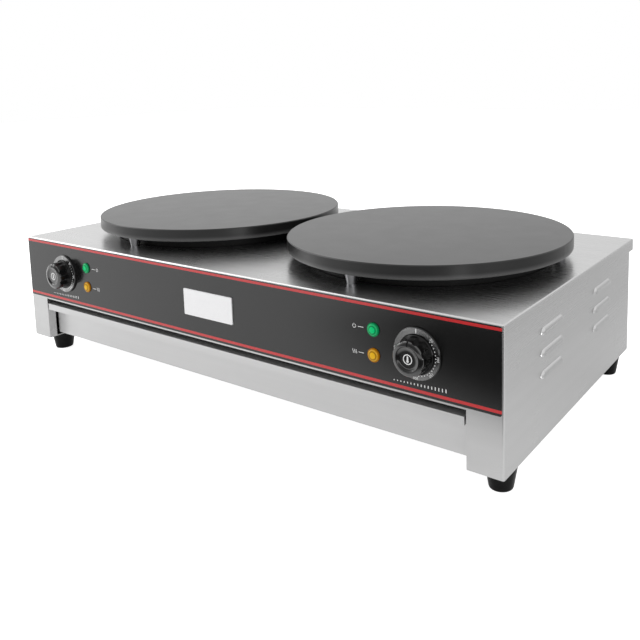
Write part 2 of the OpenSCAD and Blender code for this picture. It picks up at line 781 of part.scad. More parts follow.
// The sensor lies against the plate, and its capillary goes down through the pan and forward to the
// thermostat. Both lie in one upright plane through the thermostat's axis.
module sensor(side) {
    sensor_z = plate_z - 0.2 - sensor_d / 2;
    c = capillary_d / 2;
    at_plate(side) translate([sensor_out, 0, 0]) {
        translate([0, sensor_y, sensor_z]) rotate([-90, 0, 0])
            cylinder(r = sensor_d / 2, h = sensor_len, $fn = 24);
        // Bend from the sensor's front end downwards
        translate([0, sensor_y, sensor_z - capillary_bend]) rotate([90, 0, 90])
            rod_bend(capillary_bend, c, 90, 180);
        translate([0, capillary_y, capillary_low_z + capillary_bend])
            cylinder(r = c, h = sensor_z - capillary_low_z - 2 * capillary_bend, $fn = 24);
        // Bend at the foot of the drop, forward
        translate([0, capillary_y - capillary_bend, capillary_low_z + capillary_bend]) rotate([90, 0, 90])
            rod_bend(capillary_bend, c, -90, 0);
    }
    handed(side) translate([plate_x + sensor_out, thermostat_back_y, capillary_low_z]) rotate([-90, 0, 0])
        cylinder(r = c, h = plate_y + capillary_y - capillary_bend - thermostat_back_y, $fn = 24);
}

module sensor_left() color("peru") sensor(LEFT);
module sensor_right() color("peru") sensor(RIGHT);

// ---- Electrical ----

// Thermostat behind the front sheet: body, mounting collar with the spindle's bore, terminals
module thermostat(side) {
    tab = [6, 9, 0.8];
    tab_x = 9;
    tab_z = 10;
    flange_room = 20;
    screw_hole = 6;
    handed(side) translate([knob_x, strip_inner_y, knob_z]) difference() {
        union() {
            translate([-thermostat_w / 2, 0, -thermostat_h / 2])
                cube([thermostat_w, thermostat_d, thermostat_h]);
            rotate([90, 0, 0]) cylinder(r = collar_r, h = sheet_t + overlay_t);
            for (t = [-1, 1]) translate([t * tab_x - tab[0] / 2, thermostat_d - cut, t * tab_z - tab[2] / 2])
                cube([tab[0], tab[1] + cut, tab[2]]);
        }
        // Bore of the collar and the room behind its wall for the spindle's flange
        translate([0, collar_wall + cut, 0]) rotate([90, 0, 0]) cylinder(r = spindle_d / 2 + run_gap, h = 10);
        translate([0, flange_room, 0]) rotate([90, 0, 0])
            cylinder(r = spindle_d / 2 + 3, h = flange_room - collar_wall);
        for (t = [-1, 1]) translate([t * thermostat_screw_x, screw_hole, 0]) rotate([90, 0, 0])
            cylinder(r = screw_r + run_gap, h = screw_hole + 4);
    }
}

module thermostat_left() color("beige") thermostat(LEFT);
module thermostat_right() color("beige") thermostat(RIGHT);

// Two screws through the overlay and the front sheet into each thermostat, under the knob
module thermostat_screws() color("silver") for (s = [LEFT, RIGHT], t = [-1, 1])
    facing_front(s * knob_x + t * thermostat_screw_x, overlay_y, knob_z) {
        cylinder(r = 1.7 * screw_r, h = 1.4);
        translate([0, 0, -overlay_t - sheet_t - 5]) cylinder(r = screw_r, h = overlay_t + sheet_t + 6);
    }

// Terminal block on the compartment floor, with a row of wire holes
module terminal_block() color("ivory") {
    ways = 6;
    pitch = 12;
    base = [ways * pitch, 24, 8];
    way = [10.08, 20, 13];
    wire_z = 12;
    wire_r = 2.4;
    screw_way_r = 2.2;
    screw_way_y = 6;
    from_rear = 60;
    translate([0, side_rear_y - from_rear, floor_z + floor_t]) difference() {
        union() {
            translate([-base[0] / 2, -base[1] / 2, 0]) cube(base);
            for (i = [0:ways - 1]) translate([(i - ways / 2 + 0.5) * pitch, 0, base[2] - cut])
                translate([-way[0] / 2, -way[1] / 2, 0]) cube(way);
        }
        for (i = [0:ways - 1]) translate([(i - ways / 2 + 0.5) * pitch, 0, wire_z]) {
            translate([0, base[1] / 2 + cut, 0]) rotate([90, 0, 0])
                cylinder(r = wire_r, h = base[1] + 2 * cut);
            for (t = [-1, 1]) translate([0, t * screw_way_y, 1]) cylinder(r = screw_way_r, h = way[2]);
        }
    }
}

// Cable gland through the rear panel: hexagon, dome nut and threaded neck round one open bore
module cable_gland(side) {
    hex_r = gland_thread_r + 3.4;
    hex_h = 5;
    neck = 11;
    dome_r = gland_thread_r + 1.4;
    taper_h = 3;
    taper = 2.4;
    translate([side * gland_x, side_rear_y, gland_z]) rotate([-90, 0, 0]) difference() {
        union() {
            cylinder(r = hex_r, h = hex_h, $fn = 6);
            translate([0, 0, hex_h - cut]) cylinder(r = dome_r, h = gland_out - hex_h - taper_h + cut);
            translate([0, 0, gland_out - taper_h]) cylinder(r1 = dome_r, r2 = dome_r - taper, h = taper_h);
            translate([0, 0, -neck]) cylinder(r = gland_thread_r, h = neck + cut);
        }
        translate([0, 0, -neck - cut]) cylinder(r = gland_bore_d / 2, h = neck + gland_out + 2 * cut);
    }
}

module cable_gland_left() color([0.15, 0.15, 0.15]) cable_gland(LEFT);
module cable_gland_right() color([0.15, 0.15, 0.15]) cable_gland(RIGHT);

// Nuts that hold the glands, inside the rear panel
module gland_nuts() color([0.2, 0.2, 0.2]) for (s = [LEFT, RIGHT])
    translate([s * gland_x, panel_y - gland_nut_h, gland_z]) rotate([-90, 0, 0]) difference() {
        cylinder(r = gland_thread_r + 4, h = gland_nut_h, $fn = 6);
        drill(gland_thread_r + run_gap, gland_nut_h);
    }

// ---- Feet and screws ----

// Tapered rubber foot with a recess for its screw
module foot(side, y) {
    r_top = foot_top_d / 2;
    r_low = foot_low_d / 2;
    recess_r = foot_screw_d + 1;
    edge = 2;
    translate([side * (side_x - foot_in), y, 0]) rotate_extrude() polygon([
        [recess_r, 0], [r_low - edge, 0], [r_low - edge * 0.3, edge * 0.3], [r_low, edge],
        [r_top, foot_h], [foot_screw_d / 2 + hole_gap, foot_h],
        [foot_screw_d / 2 + hole_gap, foot_recess_h], [recess_r, foot_recess_h]
    ]);
}

module foot_front_left() color([0.1, 0.1, 0.1]) foot(LEFT, front_y + foot_front);
module foot_front_right() color([0.1, 0.1, 0.1]) foot(RIGHT, front_y + foot_front);
module foot_rear_left() color([0.1, 0.1, 0.1]) foot(LEFT, side_rear_y - foot_rear);
module foot_rear_right() color([0.1, 0.1, 0.1]) foot(RIGHT, side_rear_y - foot_rear);

// Screws up through the feet, each with a nut on the bottom flange
module foot_screws() color("silver") each_foot() {
    thread_low_z = foot_recess_h - foot_head_h / 2;
    nut_z = foot_h + sheet_t;
    translate([0, 0, foot_recess_h - foot_head_h]) cylinder(r = foot_screw_d, h = foot_head_h);
    translate([0, 0, thread_low_z])
        cylinder(r = foot_screw_d / 2, h = nut_z + foot_nut_h + foot_thread_out - thread_low_z);
    translate([0, 0, nut_z]) cylinder(r = foot_screw_d, h = foot_nut_h, $fn = 6);
}

// Screws up through the flange of the control strip into the compartment floor
module floor_screws() color("silver") each_floor_screw() {
    translate([0, 0, strip_z - screw_head_h]) cylinder(r = screw_head_r, h = screw_head_h);
    translate([0, 0, strip_z - cut]) cylinder(r = screw_r, h = cut + sheet_t + floor_t + floor_thread_out);
}

module rear_panel_screws() color("silver") each_rear_screw() rotate([90, 0, 0]) {
    translate([0, 0, -screw_head_h]) cylinder(r = screw_head_r, h = screw_head_h);
    translate([0, 0, -cut]) cylinder(r = screw_r, h = cut + 2 * sheet_t + rear_thread_out);
}

// ---- Drawer ----

// Runner on one side: an upright web, a ledge under the tray, a guide over its rim and a front stop
module drawer_runner(side) {
    ledge_z = drawer_z - slide_gap - runner_t;
    guide_z = tray_rim_z + 1.2;
    run_len = runner_end_y - runner_y;
    web_z = foot_h + sheet_t;
    web_in = runner_t / 2;
    handed(side) {
        translate([runner_x, runner_y, web_z]) cube([runner_t, run_len, floor_z - web_z]);
        translate([runner_x - ledge_w, runner_y, ledge_z]) cube([ledge_w + web_in, run_len, runner_t]);
        translate([runner_x - guide_w, runner_y, guide_z]) cube([guide_w + web_in, run_len, runner_t]);
        translate([stop_inner_x, runner_y, ledge_z + runner_t / 2])
            cube([runner_x - stop_inner_x + web_in, runner_t, guide_z - ledge_z]);
    }
}

module drawer_runner_left() color("lightgray") drawer_runner(LEFT);
module drawer_runner_right() color("lightgray") drawer_runner(RIGHT);

// Bottom sheet of the drawer's tray
module drawer_tray() color("silver") translate([-tray_half_w, tray_y, drawer_z])
    cube([2 * tray_half_w, tray_d, drawer_t]);

// Two side sheets on the bottom sheet, each with an ear that meets the runner's stop
module drawer_sides() color("silver") for (s = [LEFT, RIGHT]) handed(s) {
    ear_rise = 14;
    ear_h = 24;
    translate([tray_half_w - drawer_t, tray_y, tray_wall_z])
        cube([drawer_t, tray_d, tray_rim_z - tray_wall_z]);
    translate([tray_half_w - drawer_t / 2, ear_y, drawer_z + ear_rise])
        cube([ear_out + drawer_t / 2, drawer_t, ear_h]);
}

// Back sheet, between the side sheets
module drawer_back() color("silver")
    translate([-tray_half_w + drawer_t, tray_y + tray_d - drawer_t, tray_wall_z])
        cube([2 * (tray_half_w - drawer_t), drawer_t, tray_rim_z - tray_wall_z]);

// Front of the drawer: face, top flange, lip to pull it by, closed lip ends and short side returns
module drawer_front() color("gainsboro") {
    w = 2 * drawer_half_w;
    return_d = 3;
    translate([-w / 2, face_y, drawer_z]) cube([w, sheet_t, lip_z - drawer_z]);
    translate([-w / 2, front_y, lip_z - sheet_t]) cube([w, face_in + sheet_t / 2, sheet_t]);
    translate([-w / 2, front_y, lip_z - lip_h]) cube([w, sheet_t, lip_h]);
    translate([-w / 2, front_y, lip_z - lip_h]) cube([w, 4, sheet_t]);
    for (s = [LEFT, RIGHT]) handed(s) {
        translate([w / 2 - sheet_t, front_y, lip_z - lip_h]) cube([sheet_t, face_in + sheet_t / 2, lip_h]);
        translate([w / 2 - sheet_t, face_y, drawer_z]) cube([sheet_t, return_d, lip_z - drawer_z]);
    }
}

housing_shell();
rear_panel();
compartment_floor();
control_overlay();
badge_plate();
dial_ring_left();
dial_ring_right();
power_lamp_left();
power_lamp_right();
heat_lamp_left();
heat_lamp_right();
lamp_holders();
griddle_plate_left();
griddle_plate_right();
standoffs_left();
standoffs_right();
plate_bolts();
heating_element_left();
heating_element_right();
element_clamp_left();
element_clamp_right();
centre_studs();
centre_nuts();
insulation_left();
insulation_right();
heat_pan_left();
heat_pan_right();
sensor_left();
sensor_right();
thermostat_left();
thermostat_right();
thermostat_screws();
terminal_block();
cable_gland_left();
cable_gland_right();
gland_nuts();
drawer_runner_left();
drawer_runner_right();
floor_screws();
rear_panel_screws();
foot_front_left();
foot_front_right();
foot_rear_left();
foot_rear_right();
foot_screws();
drawer_tray();
drawer_sides();
drawer_back();
drawer_front();
knob_left();
knob_right();
spindle_left();
spindle_right();
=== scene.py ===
# %% [markdown]
# # A crepe maker with two griddle plates
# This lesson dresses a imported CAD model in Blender. The CAD nodes give every size and place, in
# metres, with the front towards -Y and the floor at z = 0. The lesson adds a camera, light and
# finishes for every part, and the small pieces that are easier to shape as meshes: the moulded
# knobs, the printed marks and signs, the screws with their cross recesses and the cable glands.

import math

import bmesh
import bpy
from mathutils import Matrix, Vector


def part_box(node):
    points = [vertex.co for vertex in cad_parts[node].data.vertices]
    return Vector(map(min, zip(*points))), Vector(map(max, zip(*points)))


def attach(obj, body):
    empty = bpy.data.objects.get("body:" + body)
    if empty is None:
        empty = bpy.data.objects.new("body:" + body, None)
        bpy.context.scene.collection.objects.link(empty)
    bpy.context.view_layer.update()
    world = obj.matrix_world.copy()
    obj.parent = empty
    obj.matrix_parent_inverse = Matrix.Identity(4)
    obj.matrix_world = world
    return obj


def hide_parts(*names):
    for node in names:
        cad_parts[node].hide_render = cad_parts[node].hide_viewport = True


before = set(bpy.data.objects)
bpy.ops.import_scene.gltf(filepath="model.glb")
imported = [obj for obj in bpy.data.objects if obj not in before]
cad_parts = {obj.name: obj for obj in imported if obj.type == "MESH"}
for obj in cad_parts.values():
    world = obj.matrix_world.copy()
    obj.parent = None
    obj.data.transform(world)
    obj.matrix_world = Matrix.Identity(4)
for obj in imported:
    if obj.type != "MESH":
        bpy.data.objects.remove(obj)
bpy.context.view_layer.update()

# %% [markdown]
# ## Camera
# The appliance is seen from the right of its front, a little from above, with a fairly wide lens.
# A shift of the lens, like the rise of a view camera, frames it without tilting the camera, so that
# upright edges stay almost upright. The position is set once, as a matrix built from three axes.

# %% Camera
FRAME_PX, SENSOR_MM = 640, 36
FOCAL_PX = 730.50
CENTRE_PX = (380.0, 175.0)
EYE = Vector((0.7290, -0.8666, 0.4439))
AZIMUTH, ELEVATION, ROLL = (math.radians(v) for v in (34.508, 7.483, -1.174))


def camera_axes(azimuth, elevation, roll):
    back = Vector((math.sin(azimuth), -math.cos(azimuth), 0)) * math.cos(elevation)
    back.z = math.sin(elevation)
    right = Vector((math.cos(azimuth), math.sin(azimuth), 0))
    up = back.cross(right)
    c, s = math.cos(roll), math.sin(roll)
    return Matrix((c * right + s * up, c * up - s * right, back)).transposed()


camera = bpy.data.objects.new("camera", bpy.data.cameras.new("camera"))
bpy.context.scene.collection.objects.link(camera)
camera.matrix_world = Matrix.Translation(EYE) @ camera_axes(AZIMUTH, ELEVATION, ROLL).to_4x4()
camera.data.sensor_width = SENSOR_MM
camera.data.lens = FOCAL_PX * SENSOR_MM / FRAME_PX
camera.data.shift_x = (FRAME_PX / 2 - CENTRE_PX[0]) / FRAME_PX
camera.data.shift_y = (CENTRE_PX[1] - FRAME_PX / 2) / FRAME_PX
bpy.context.scene.camera = camera
print("lens", round(camera.data.lens, 2), "mm, distance", round(EYE.length, 3), "m")

# %% [markdown]
# ## Small helpers
# Finishes are node trees. Short functions keep the code of each one readable: one adds a node and
# sets its values, one starts a material and sets the numbers that are the same all over the surface
# straight on the shader, one links what varies, and one puts a finish on CAD nodes.


# %% Material helpers
def add(tree, kind, settings=None, **values):
    """Adds a node. A key like i0 gives an input by number, every other key gives it by name."""
    node = tree.nodes.new("ShaderNode" + kind)
    for key, value in (settings or {}).items():
        setattr(node, key, value)
    for key, value in values.items():
        by_number = key[0] == "i" and key[1:].isdigit()
        socket = node.inputs[int(key[1:]) if by_number else key]
        if isinstance(value, bpy.types.NodeSocket):
            tree.links.new(value, socket)
        else:
            socket.default_value = value
    return node


def finish_of(name, colour, roughness, metallic=0.0, **extra):
    material = bpy.data.materials.new(name)
    material.use_nodes = True
    shader = material.node_tree.nodes["Principled BSDF"]
    shader.inputs["Base Color"].default_value = (*colour, 1)
    shader.inputs["Roughness"].default_value = roughness
    shader.inputs["Metallic"].default_value = metallic
    for key, value in extra.items():
        shader.inputs[key.replace("_", " ")].default_value = value
    return material, material.node_tree, shader


def drive(tree, shader, **sources):
    """Links values that vary over the surface to inputs of the shader."""
    for key, source in sources.items():
        tree.links.new(source, shader.inputs[key.replace("_", " ")])


def wear(material, *node_list):
    """Puts a finish on CAD nodes, in the slot that each of them has."""
    for name in node_list:
        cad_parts[name].data.materials[0] = material
    print(material.name, "on", len(node_list), "nodes")


# %% [markdown]
# Most nodes only work values out. Each of these helpers writes one such step as a single call.

# %% Value helpers
MAP_ENDS = ("From Min", "From Max", "To Min", "To Max")


def calc(tree, operation, a, b=0.0):
    return add(tree, "Math", {"operation": operation}, i0=a, i1=b).outputs[0]


def calc_vector(tree, operation, a, b=(0, 0, 0)):
    """One step with vectors. A length or a dot product comes out as a plain value."""
    node = add(tree, "VectorMath", {"operation": operation}, i0=a, i1=b)
    return node.outputs["Value" if operation in ("LENGTH", "DOT_PRODUCT") else 0]


def ramp(tree, value, low, high, start=0.0, end=1.0, smooth=False):
    """Turns values from start to end into values from low to high, and holds them beyond."""
    settings = {"interpolation_type": "SMOOTHSTEP" if smooth else "LINEAR"}
    node = add(tree, "MapRange", settings, Value=value)
    for label, setting in zip(MAP_ENDS, (start, end, low, high)):
        node.inputs[label].default_value = setting
    return node.outputs[0]


def grey(tree, value):
    return add(tree, "CombineColor", Red=value, Green=value, Blue=value).outputs[0]


def blend(tree, mask, first, second):
    """The first colour where the mask is 0, the second where it is 1."""
    return add(tree, "Mix", {"data_type": "RGBA"}, i0=mask, i6=first, i7=second).outputs[2]


def pick(tree, mask, first, second):
    """The first value where the mask is 0, the second where it is 1."""
    return add(tree, "Mix", i0=mask, i2=first, i3=second).outputs[0]


def object_axis(tree, axis):
    """How far along one axis of the object a point lies, in metres."""
    return add(tree, "SeparateXYZ", i0=add(tree, "TexCoord").outputs["Object"]).outputs[axis]


def relief(tree, height, strength, distance):
    return add(tree, "Bump", Strength=strength, Distance=distance, Height=height).outputs[0]


# %% [markdown]
# ## Shared effects
# Several finishes use the same effects, so each effect is a node group with named inputs: the long
# scratches of brushed sheet, soft handling marks, and the grain of cast or moulded surfaces. The
# groups give only values that vary over the surface. The materials decide what they do with them.


# %% Group helpers
def new_group(name, inputs, outputs):
    group = bpy.data.node_groups.new(name, "ShaderNodeTree")
    for label, value in inputs:
        socket = group.interface.new_socket(label, in_out="INPUT", socket_type="NodeSocketFloat")
        socket.default_value = value
    for label in outputs:
        group.interface.new_socket(label, in_out="OUTPUT", socket_type="NodeSocketFloat")
    return group, group.nodes.new("NodeGroupInput"), group.nodes.new("NodeGroupOutput")


def use(tree, group, **values):
    node = tree.nodes.new("ShaderNodeGroup")
    node.node_tree = group
    for key, value in values.items():
        node.inputs[key].default_value = value
    return node


# %% [markdown]
# Brushed sheet has grain along its length. On the deck, the strip and the drawer it runs from side
# to side, and on the two side sheets from front to back. The face's own normal tells which of the
# two it is, so one group serves the whole bent housing. Stretched along the grain, the noise makes
# fine scratches, and stretched once more it makes the wider streaks.

# %% Brushed grain
SIDE_NORMAL_X, STREAK_STRETCH = 0.6, (0.35, 0.05, 0.05)
brushed, g_in, g_out = new_group(
    "brushed_grain", [("Along", 6.0), ("Across", 1400.0)], ["Grain", "Streak"]
)
along, across = g_in.outputs["Along"], g_in.outputs["Across"]
where = add(brushed, "TexCoord").outputs["Object"]
facing = add(brushed, "SeparateXYZ", i0=add(brushed, "NewGeometry").outputs["Normal"])
sideways = calc(brushed, "ABSOLUTE", facing.outputs["X"])
on_side = calc(brushed, "GREATER_THAN", sideways, SIDE_NORMAL_X)
along_x = add(brushed, "CombineXYZ", X=along, Y=across, Z=across).outputs[0]
along_y = add(brushed, "CombineXYZ", X=across, Y=along, Z=across).outputs[0]
stretch = add(brushed, "Mix", {"data_type": "VECTOR"}, i0=on_side, i4=along_x, i5=along_y)
scaled = calc_vector(brushed, "MULTIPLY", where, stretch.outputs[1])
wide = calc_vector(brushed, "MULTIPLY", scaled, STREAK_STRETCH)
scratches = add(brushed, "TexNoise", Vector=scaled, Scale=1.0, Detail=3.0, Roughness=0.7)
streaks = add(brushed, "TexNoise", Vector=wide, Scale=1.0, Detail=2.0, Roughness=0.5)
brushed.links.new(scratches.outputs[0], g_out.inputs["Grain"])
brushed.links.new(streaks.outputs[0], g_out.inputs["Streak"])
print("brushed_grain has", len(brushed.nodes), "nodes")

# %% [markdown]
# Handling leaves large soft smudges that change only the gloss. Cast iron, rubber and moulded
# plastic have a fine even grain and a coarser mottle. All of these are plain noise at very
# different scales.

# %% Handling marks and fine grain
handled, g_in, g_out = new_group("handling_marks", [("Size", 7.0), ("Contrast", 1.0)], ["Smudge"])
where = add(handled, "TexCoord").outputs["Object"]
cloud = add(handled, "TexNoise", Vector=where, Scale=g_in.outputs["Size"], Detail=4.0)
about_zero = calc(handled, "SUBTRACT", cloud.outputs[0], 0.5)
smudge = calc(handled, "MULTIPLY", about_zero, g_in.outputs["Contrast"])
handled.links.new(smudge, g_out.inputs["Smudge"])

grained, g_in, g_out = new_group(
    "fine_grain", [("Scale", 900.0), ("Coarse", 60.0)], ["Grain", "Mottle"]
)
where = add(grained, "TexCoord").outputs["Object"]
for size, detail, result in (("Scale", 2.0, "Grain"), ("Coarse", 5.0, "Mottle")):
    noise = add(grained, "TexNoise", Vector=where, Scale=g_in.outputs[size], Detail=detail)
    grained.links.new(noise.outputs[0], g_out.inputs[result])
print("groups", len(bpy.data.node_groups))

# %% [markdown]
# ## Brushed stainless sheet
# The housing, the drawer and the rear panel are the same kind of sheet. Three things make it read
# as brushed steel: the colour varies a little along the lines, the gloss varies with the lines and
# the smudges, and a very shallow bump breaks the reflections up across the grain. The drawer is
# brushed more coarsely, so it also scatters some of the light, as its metallic value below one
# says.

# %% Steel finish
SCRATCH_GLOSS, SCRATCH_BUMP, SCRATCH_DEPTH = 0.035, 0.035, 0.0002
STREAK_TONES, BLUE_TINGE, SMUDGING = (0.93, 1.05), 1.01, 0.10


def brushed_steel(name, tone, roughness, metallic=1.0):
    material, tree, shader = finish_of(name, (tone, tone, tone * BLUE_TINGE), roughness, metallic)
    grain = use(tree, brushed)
    smudge = use(tree, handled, Contrast=SMUDGING).outputs["Smudge"]
    painted_light_ramp = ramp(tree, grain.outputs["Streak"], *[tone * t for t in STREAK_TONES])
    low, high = roughness - SCRATCH_GLOSS, roughness + SCRATCH_GLOSS
    gloss = calc(tree, "ADD", ramp(tree, grain.outputs["Grain"], low, high), smudge)
    bump = relief(tree, grain.outputs["Grain"], SCRATCH_BUMP, SCRATCH_DEPTH)
    drive(tree, shader, Base_Color=grey(tree, painted_light_ramp), Roughness=gloss, Normal=bump)
    return material


housing_steel = brushed_steel("housing_steel", 0.62, 0.28)
drawer_steel = brushed_steel("drawer_steel", 0.68, 0.34, metallic=0.78)
panel_steel = brushed_steel("panel_steel", 0.55, 0.38)
wear(housing_steel, "housing_shell")
wear(drawer_steel, "drawer_tray", "drawer_sides", "drawer_back", "drawer_front")
wear(panel_steel, "rear_panel", "compartment_floor", "drawer_runner_left", "drawer_runner_right")

# %% [markdown]
# ## Cast iron plates
# The plates are machined flat, blackened and baked on, so they are dark grey and matt, with a fine
# tooth. From a low angle they still mirror some of the bright room. The mottle stays very faint.
# The underside is left as it was cast, a lighter grey. The same grey fades up the lower part of the
# rim as a painted reflection of the bright deck below.

# %% Griddle finish
RAW_GREY_AND_RIM_SHEEN, RIM_PAINTED_SHEEN_H = (0.10, 0.10, 0.10, 1), 0.008
IRON_GLOSS, IRON_BUMP, IRON_DEPTH, MOTTLE_TONES = 0.03, 0.05, 0.0002, (0.85, 1.15)


def mottled(tree, grain, tone):
    """A grey that drifts softly a little above and below its tone."""
    return grey(tree, ramp(tree, grain.outputs["Mottle"], *[tone * t for t in MOTTLE_TONES]))


def cast_iron(name, tone, roughness, underside):
    material, tree, shader = finish_of(name, (tone, tone, tone), roughness, IOR=1.49)
    grain = use(tree, grained, Scale=1600.0, Coarse=26.0)
    height = object_axis(tree, "Z")
    # On the underside this is the raw grey. Where it fades up the lower rim it is a painted
    # reflection.
    raw_and_rim_sheen = ramp(tree, height, 1.0, 0.0, underside, underside + RIM_PAINTED_SHEEN_H, smooth=True)
    colour = blend(tree, raw_and_rim_sheen, mottled(tree, grain, tone), RAW_GREY_AND_RIM_SHEEN)
    gloss = ramp(tree, grain.outputs["Mottle"], roughness - IRON_GLOSS, roughness + IRON_GLOSS)
    bump = relief(tree, grain.outputs["Grain"], IRON_BUMP, IRON_DEPTH)
    drive(tree, shader, Base_Color=colour, Roughness=gloss, Normal=bump)
    return material


griddle_iron = cast_iron("griddle_iron", 0.009, 0.29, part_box("griddle_plate_left")[0][2])
wear(griddle_iron, "griddle_plate_left", "griddle_plate_right")

# %% [markdown]
# ## Black control overlay
# A glossy black sheet is stuck on the front. Two thin red lines are printed on it, one near its
# upper edge and one near its lower edge. They are bands of height, so the height alone picks them.

# %% Overlay finish
STRIPES = ((0.1029, 0.1065), (0.1905, 0.1939))
OVERLAY_BLACK, STRIPE_RED = (0.003, 0.003, 0.003), (0.64, 0.026, 0.030, 1)
OVERLAY_GLOSS = 0.18


def band(tree, height, low, high):
    """1 between two heights, 0 elsewhere."""
    above = calc(tree, "GREATER_THAN", height, low)
    return calc(tree, "MULTIPLY", above, calc(tree, "LESS_THAN", height, high))


overlay_black, tree, shader = finish_of("overlay_black", OVERLAY_BLACK, 0.14, IOR=1.66)
height = object_axis(tree, "Z")
low_band, high_band = (band(tree, height, *edges) for edges in STRIPES)
stripes = calc(tree, "MAXIMUM", low_band, high_band)
ink = blend(tree, stripes, (*OVERLAY_BLACK, 1), STRIPE_RED)
smudge = use(tree, handled, Size=9.0, Contrast=SMUDGING).outputs["Smudge"]
drive(tree, shader, Base_Color=ink, Roughness=calc(tree, "ADD", OVERLAY_GLOSS, smudge))
wear(overlay_black, "control_overlay")

# %% [markdown]
# ## Moulded plastic, rubber and small metal
# The rest of the finishes differ only in their numbers, so one function makes them: a base colour
# with a faint mottle, and a fine grain in the gloss and in the bump.

# %% Plain grained finishes
GRAIN_GLOSS, GRAIN_DEPTH, LOWEST_GLOSS = 0.06, 0.0001, 0.02


def grained_finish(name, colour, roughness, scale=900.0, bump=0.1, vary=0.12, **extra):
    material, tree, shader = finish_of(name, colour, roughness, **extra)
    grain = use(tree, grained, Scale=scale, Coarse=scale / 12)
    darker = (*[c * (1 - vary) for c in colour], 1)
    lighter = (*[min(1, c * (1 + vary)) for c in colour], 1)
    low, high = max(LOWEST_GLOSS, roughness - GRAIN_GLOSS), roughness + GRAIN_GLOSS
    drive(
        tree,
        shader,
        Base_Color=blend(tree, grain.outputs["Mottle"], darker, lighter),
        Roughness=ramp(tree, grain.outputs["Grain"], low, high),
        Normal=relief(tree, grain.outputs["Grain"], bump, GRAIN_DEPTH),
    )
    return material


foot_rubber = grained_finish(
    "foot_rubber", (0.003, 0.003, 0.003), 0.22, scale=1500.0, bump=0.08, IOR=1.25
)
moulded_black = grained_finish(
    "moulded_black", (0.02, 0.02, 0.021), 0.45, scale=1300.0, bump=0.15
)
badge_silver = grained_finish(
    "badge_silver", (0.96, 0.96, 0.97), 0.30, metallic=0.3, scale=2400.0, bump=0.02, vary=0.03
)
standoff_steel = grained_finish(
    "standoff_steel", (0.30, 0.30, 0.31), 0.34, metallic=1.0, bump=0.05
)
zinc_steel = grained_finish("zinc_steel", (0.62, 0.63, 0.66), 0.32, metallic=1.0, bump=0.08)
# The heat pans are near black and not metallic: painted shade for the dark gap under the plates.
pan_steel = grained_finish("pan_steel", (0.006, 0.006, 0.006), 0.50, IOR=1.30)
element_sheath = grained_finish("element_sheath", (0.16, 0.15, 0.14), 0.45, metallic=0.8)
mineral_wool = grained_finish(
    "mineral_wool", (0.62, 0.57, 0.40), 0.95, scale=350.0, bump=0.8, vary=0.25
)
sensor_copper = grained_finish(
    "sensor_copper", (0.72, 0.38, 0.22), 0.30, metallic=1.0, bump=0.05
)
thermostat_body = grained_finish(
    "thermostat_body", (0.70, 0.66, 0.55), 0.5, scale=700.0, bump=0.12
)
spindle_brass = grained_finish(
    "spindle_brass", (0.75, 0.58, 0.28), 0.30, metallic=1.0, bump=0.05
)
print_white = grained_finish(
    "print_white", (0.95, 0.95, 0.95), 0.55, scale=2500.0, bump=0.03, vary=0.04
)

# %% [markdown]
# A knob is moulded with a polished face and a plainer grip. A clear coat stands for the polish. It
# covers only what lies in front of the grip, so the depth alone says where it is.

# %% Knob finish
FACE_Y, FACE_BLUR, GRIP_COAT = -0.2380, 0.0004, 0.06
knob_black = grained_finish(
    "knob_black",
    (0.004, 0.004, 0.004),
    0.20,
    scale=1800.0,
    bump=0.03,
    IOR=1.25,
    Coat_Roughness=0.10,
    Coat_IOR=1.85,
)
tree = knob_black.node_tree
depth = object_axis(tree, "Y")
polish = ramp(tree, depth, 1.0, GRIP_COAT, FACE_Y - FACE_BLUR, FACE_Y + FACE_BLUR, smooth=True)
drive(tree, tree.nodes["Principled BSDF"], Coat_Weight=polish)

# %% [markdown]
# The small CAD nodes get these finishes by what they are made of, except the heat pans, whose
# near black is painted shade under the plates. The knobs, the screws of the flange and of the rear
# panel and the cable glands are left out, because finer ones replace them further on.

# %% Finishes on the CAD nodes
wear(foot_rubber, "foot_front_left", "foot_front_right", "foot_rear_left", "foot_rear_right")
wear(badge_silver, "badge_plate")
wear(standoff_steel, "standoffs_left", "standoffs_right")
wear(zinc_steel, "plate_bolts", "foot_screws", "thermostat_screws")
wear(zinc_steel, "element_clamp_left", "element_clamp_right", "centre_studs", "centre_nuts")
wear(pan_steel, "heat_pan_left", "heat_pan_right")
wear(element_sheath, "heating_element_left", "heating_element_right")
wear(mineral_wool, "insulation_left", "insulation_right")
wear(sensor_copper, "sensor_left", "sensor_right")
wear(thermostat_body, "thermostat_left", "thermostat_right", "terminal_block")
wear(spindle_brass, "spindle_left", "spindle_right")
wear(moulded_black, "lamp_holders", "gland_nuts")

# %% [markdown]
# ## Lamp lenses
# A pilot lens is clear coloured plastic in front of a small lamp. Light and shade are painted into
# its colour: painted light in the middle, where light would come through, then a painted dark
# step, a painted highlight on the bezel and the deep colour at the rim, with a faint painted glow
# over it all. The distance from the lens's own axis drives that, so each of the four lenses has its
# own centre in a Mapping node.

# %% Lens finish
LENS_R, LENS_PITCH, LENS_BUMP, LENS_DEPTH, LENS_PAINTED_GLOW = 0.0083, 0.0016, 0.25, 0.0002, 0.12
STEP_PAINTED_SHADE, BEZEL_PAINTED_HIGHLIGHT, BEZEL_HIGHLIGHT_LIFT = 0.6, 0.85, 0.02
LENSES = {
    "power_lamp": ((0.0, 0.24, 0.08), (0.0, 0.58, 0.18)),
    "heat_lamp": ((0.44, 0.17, 0.0), (0.80, 0.46, 0.015)),
}


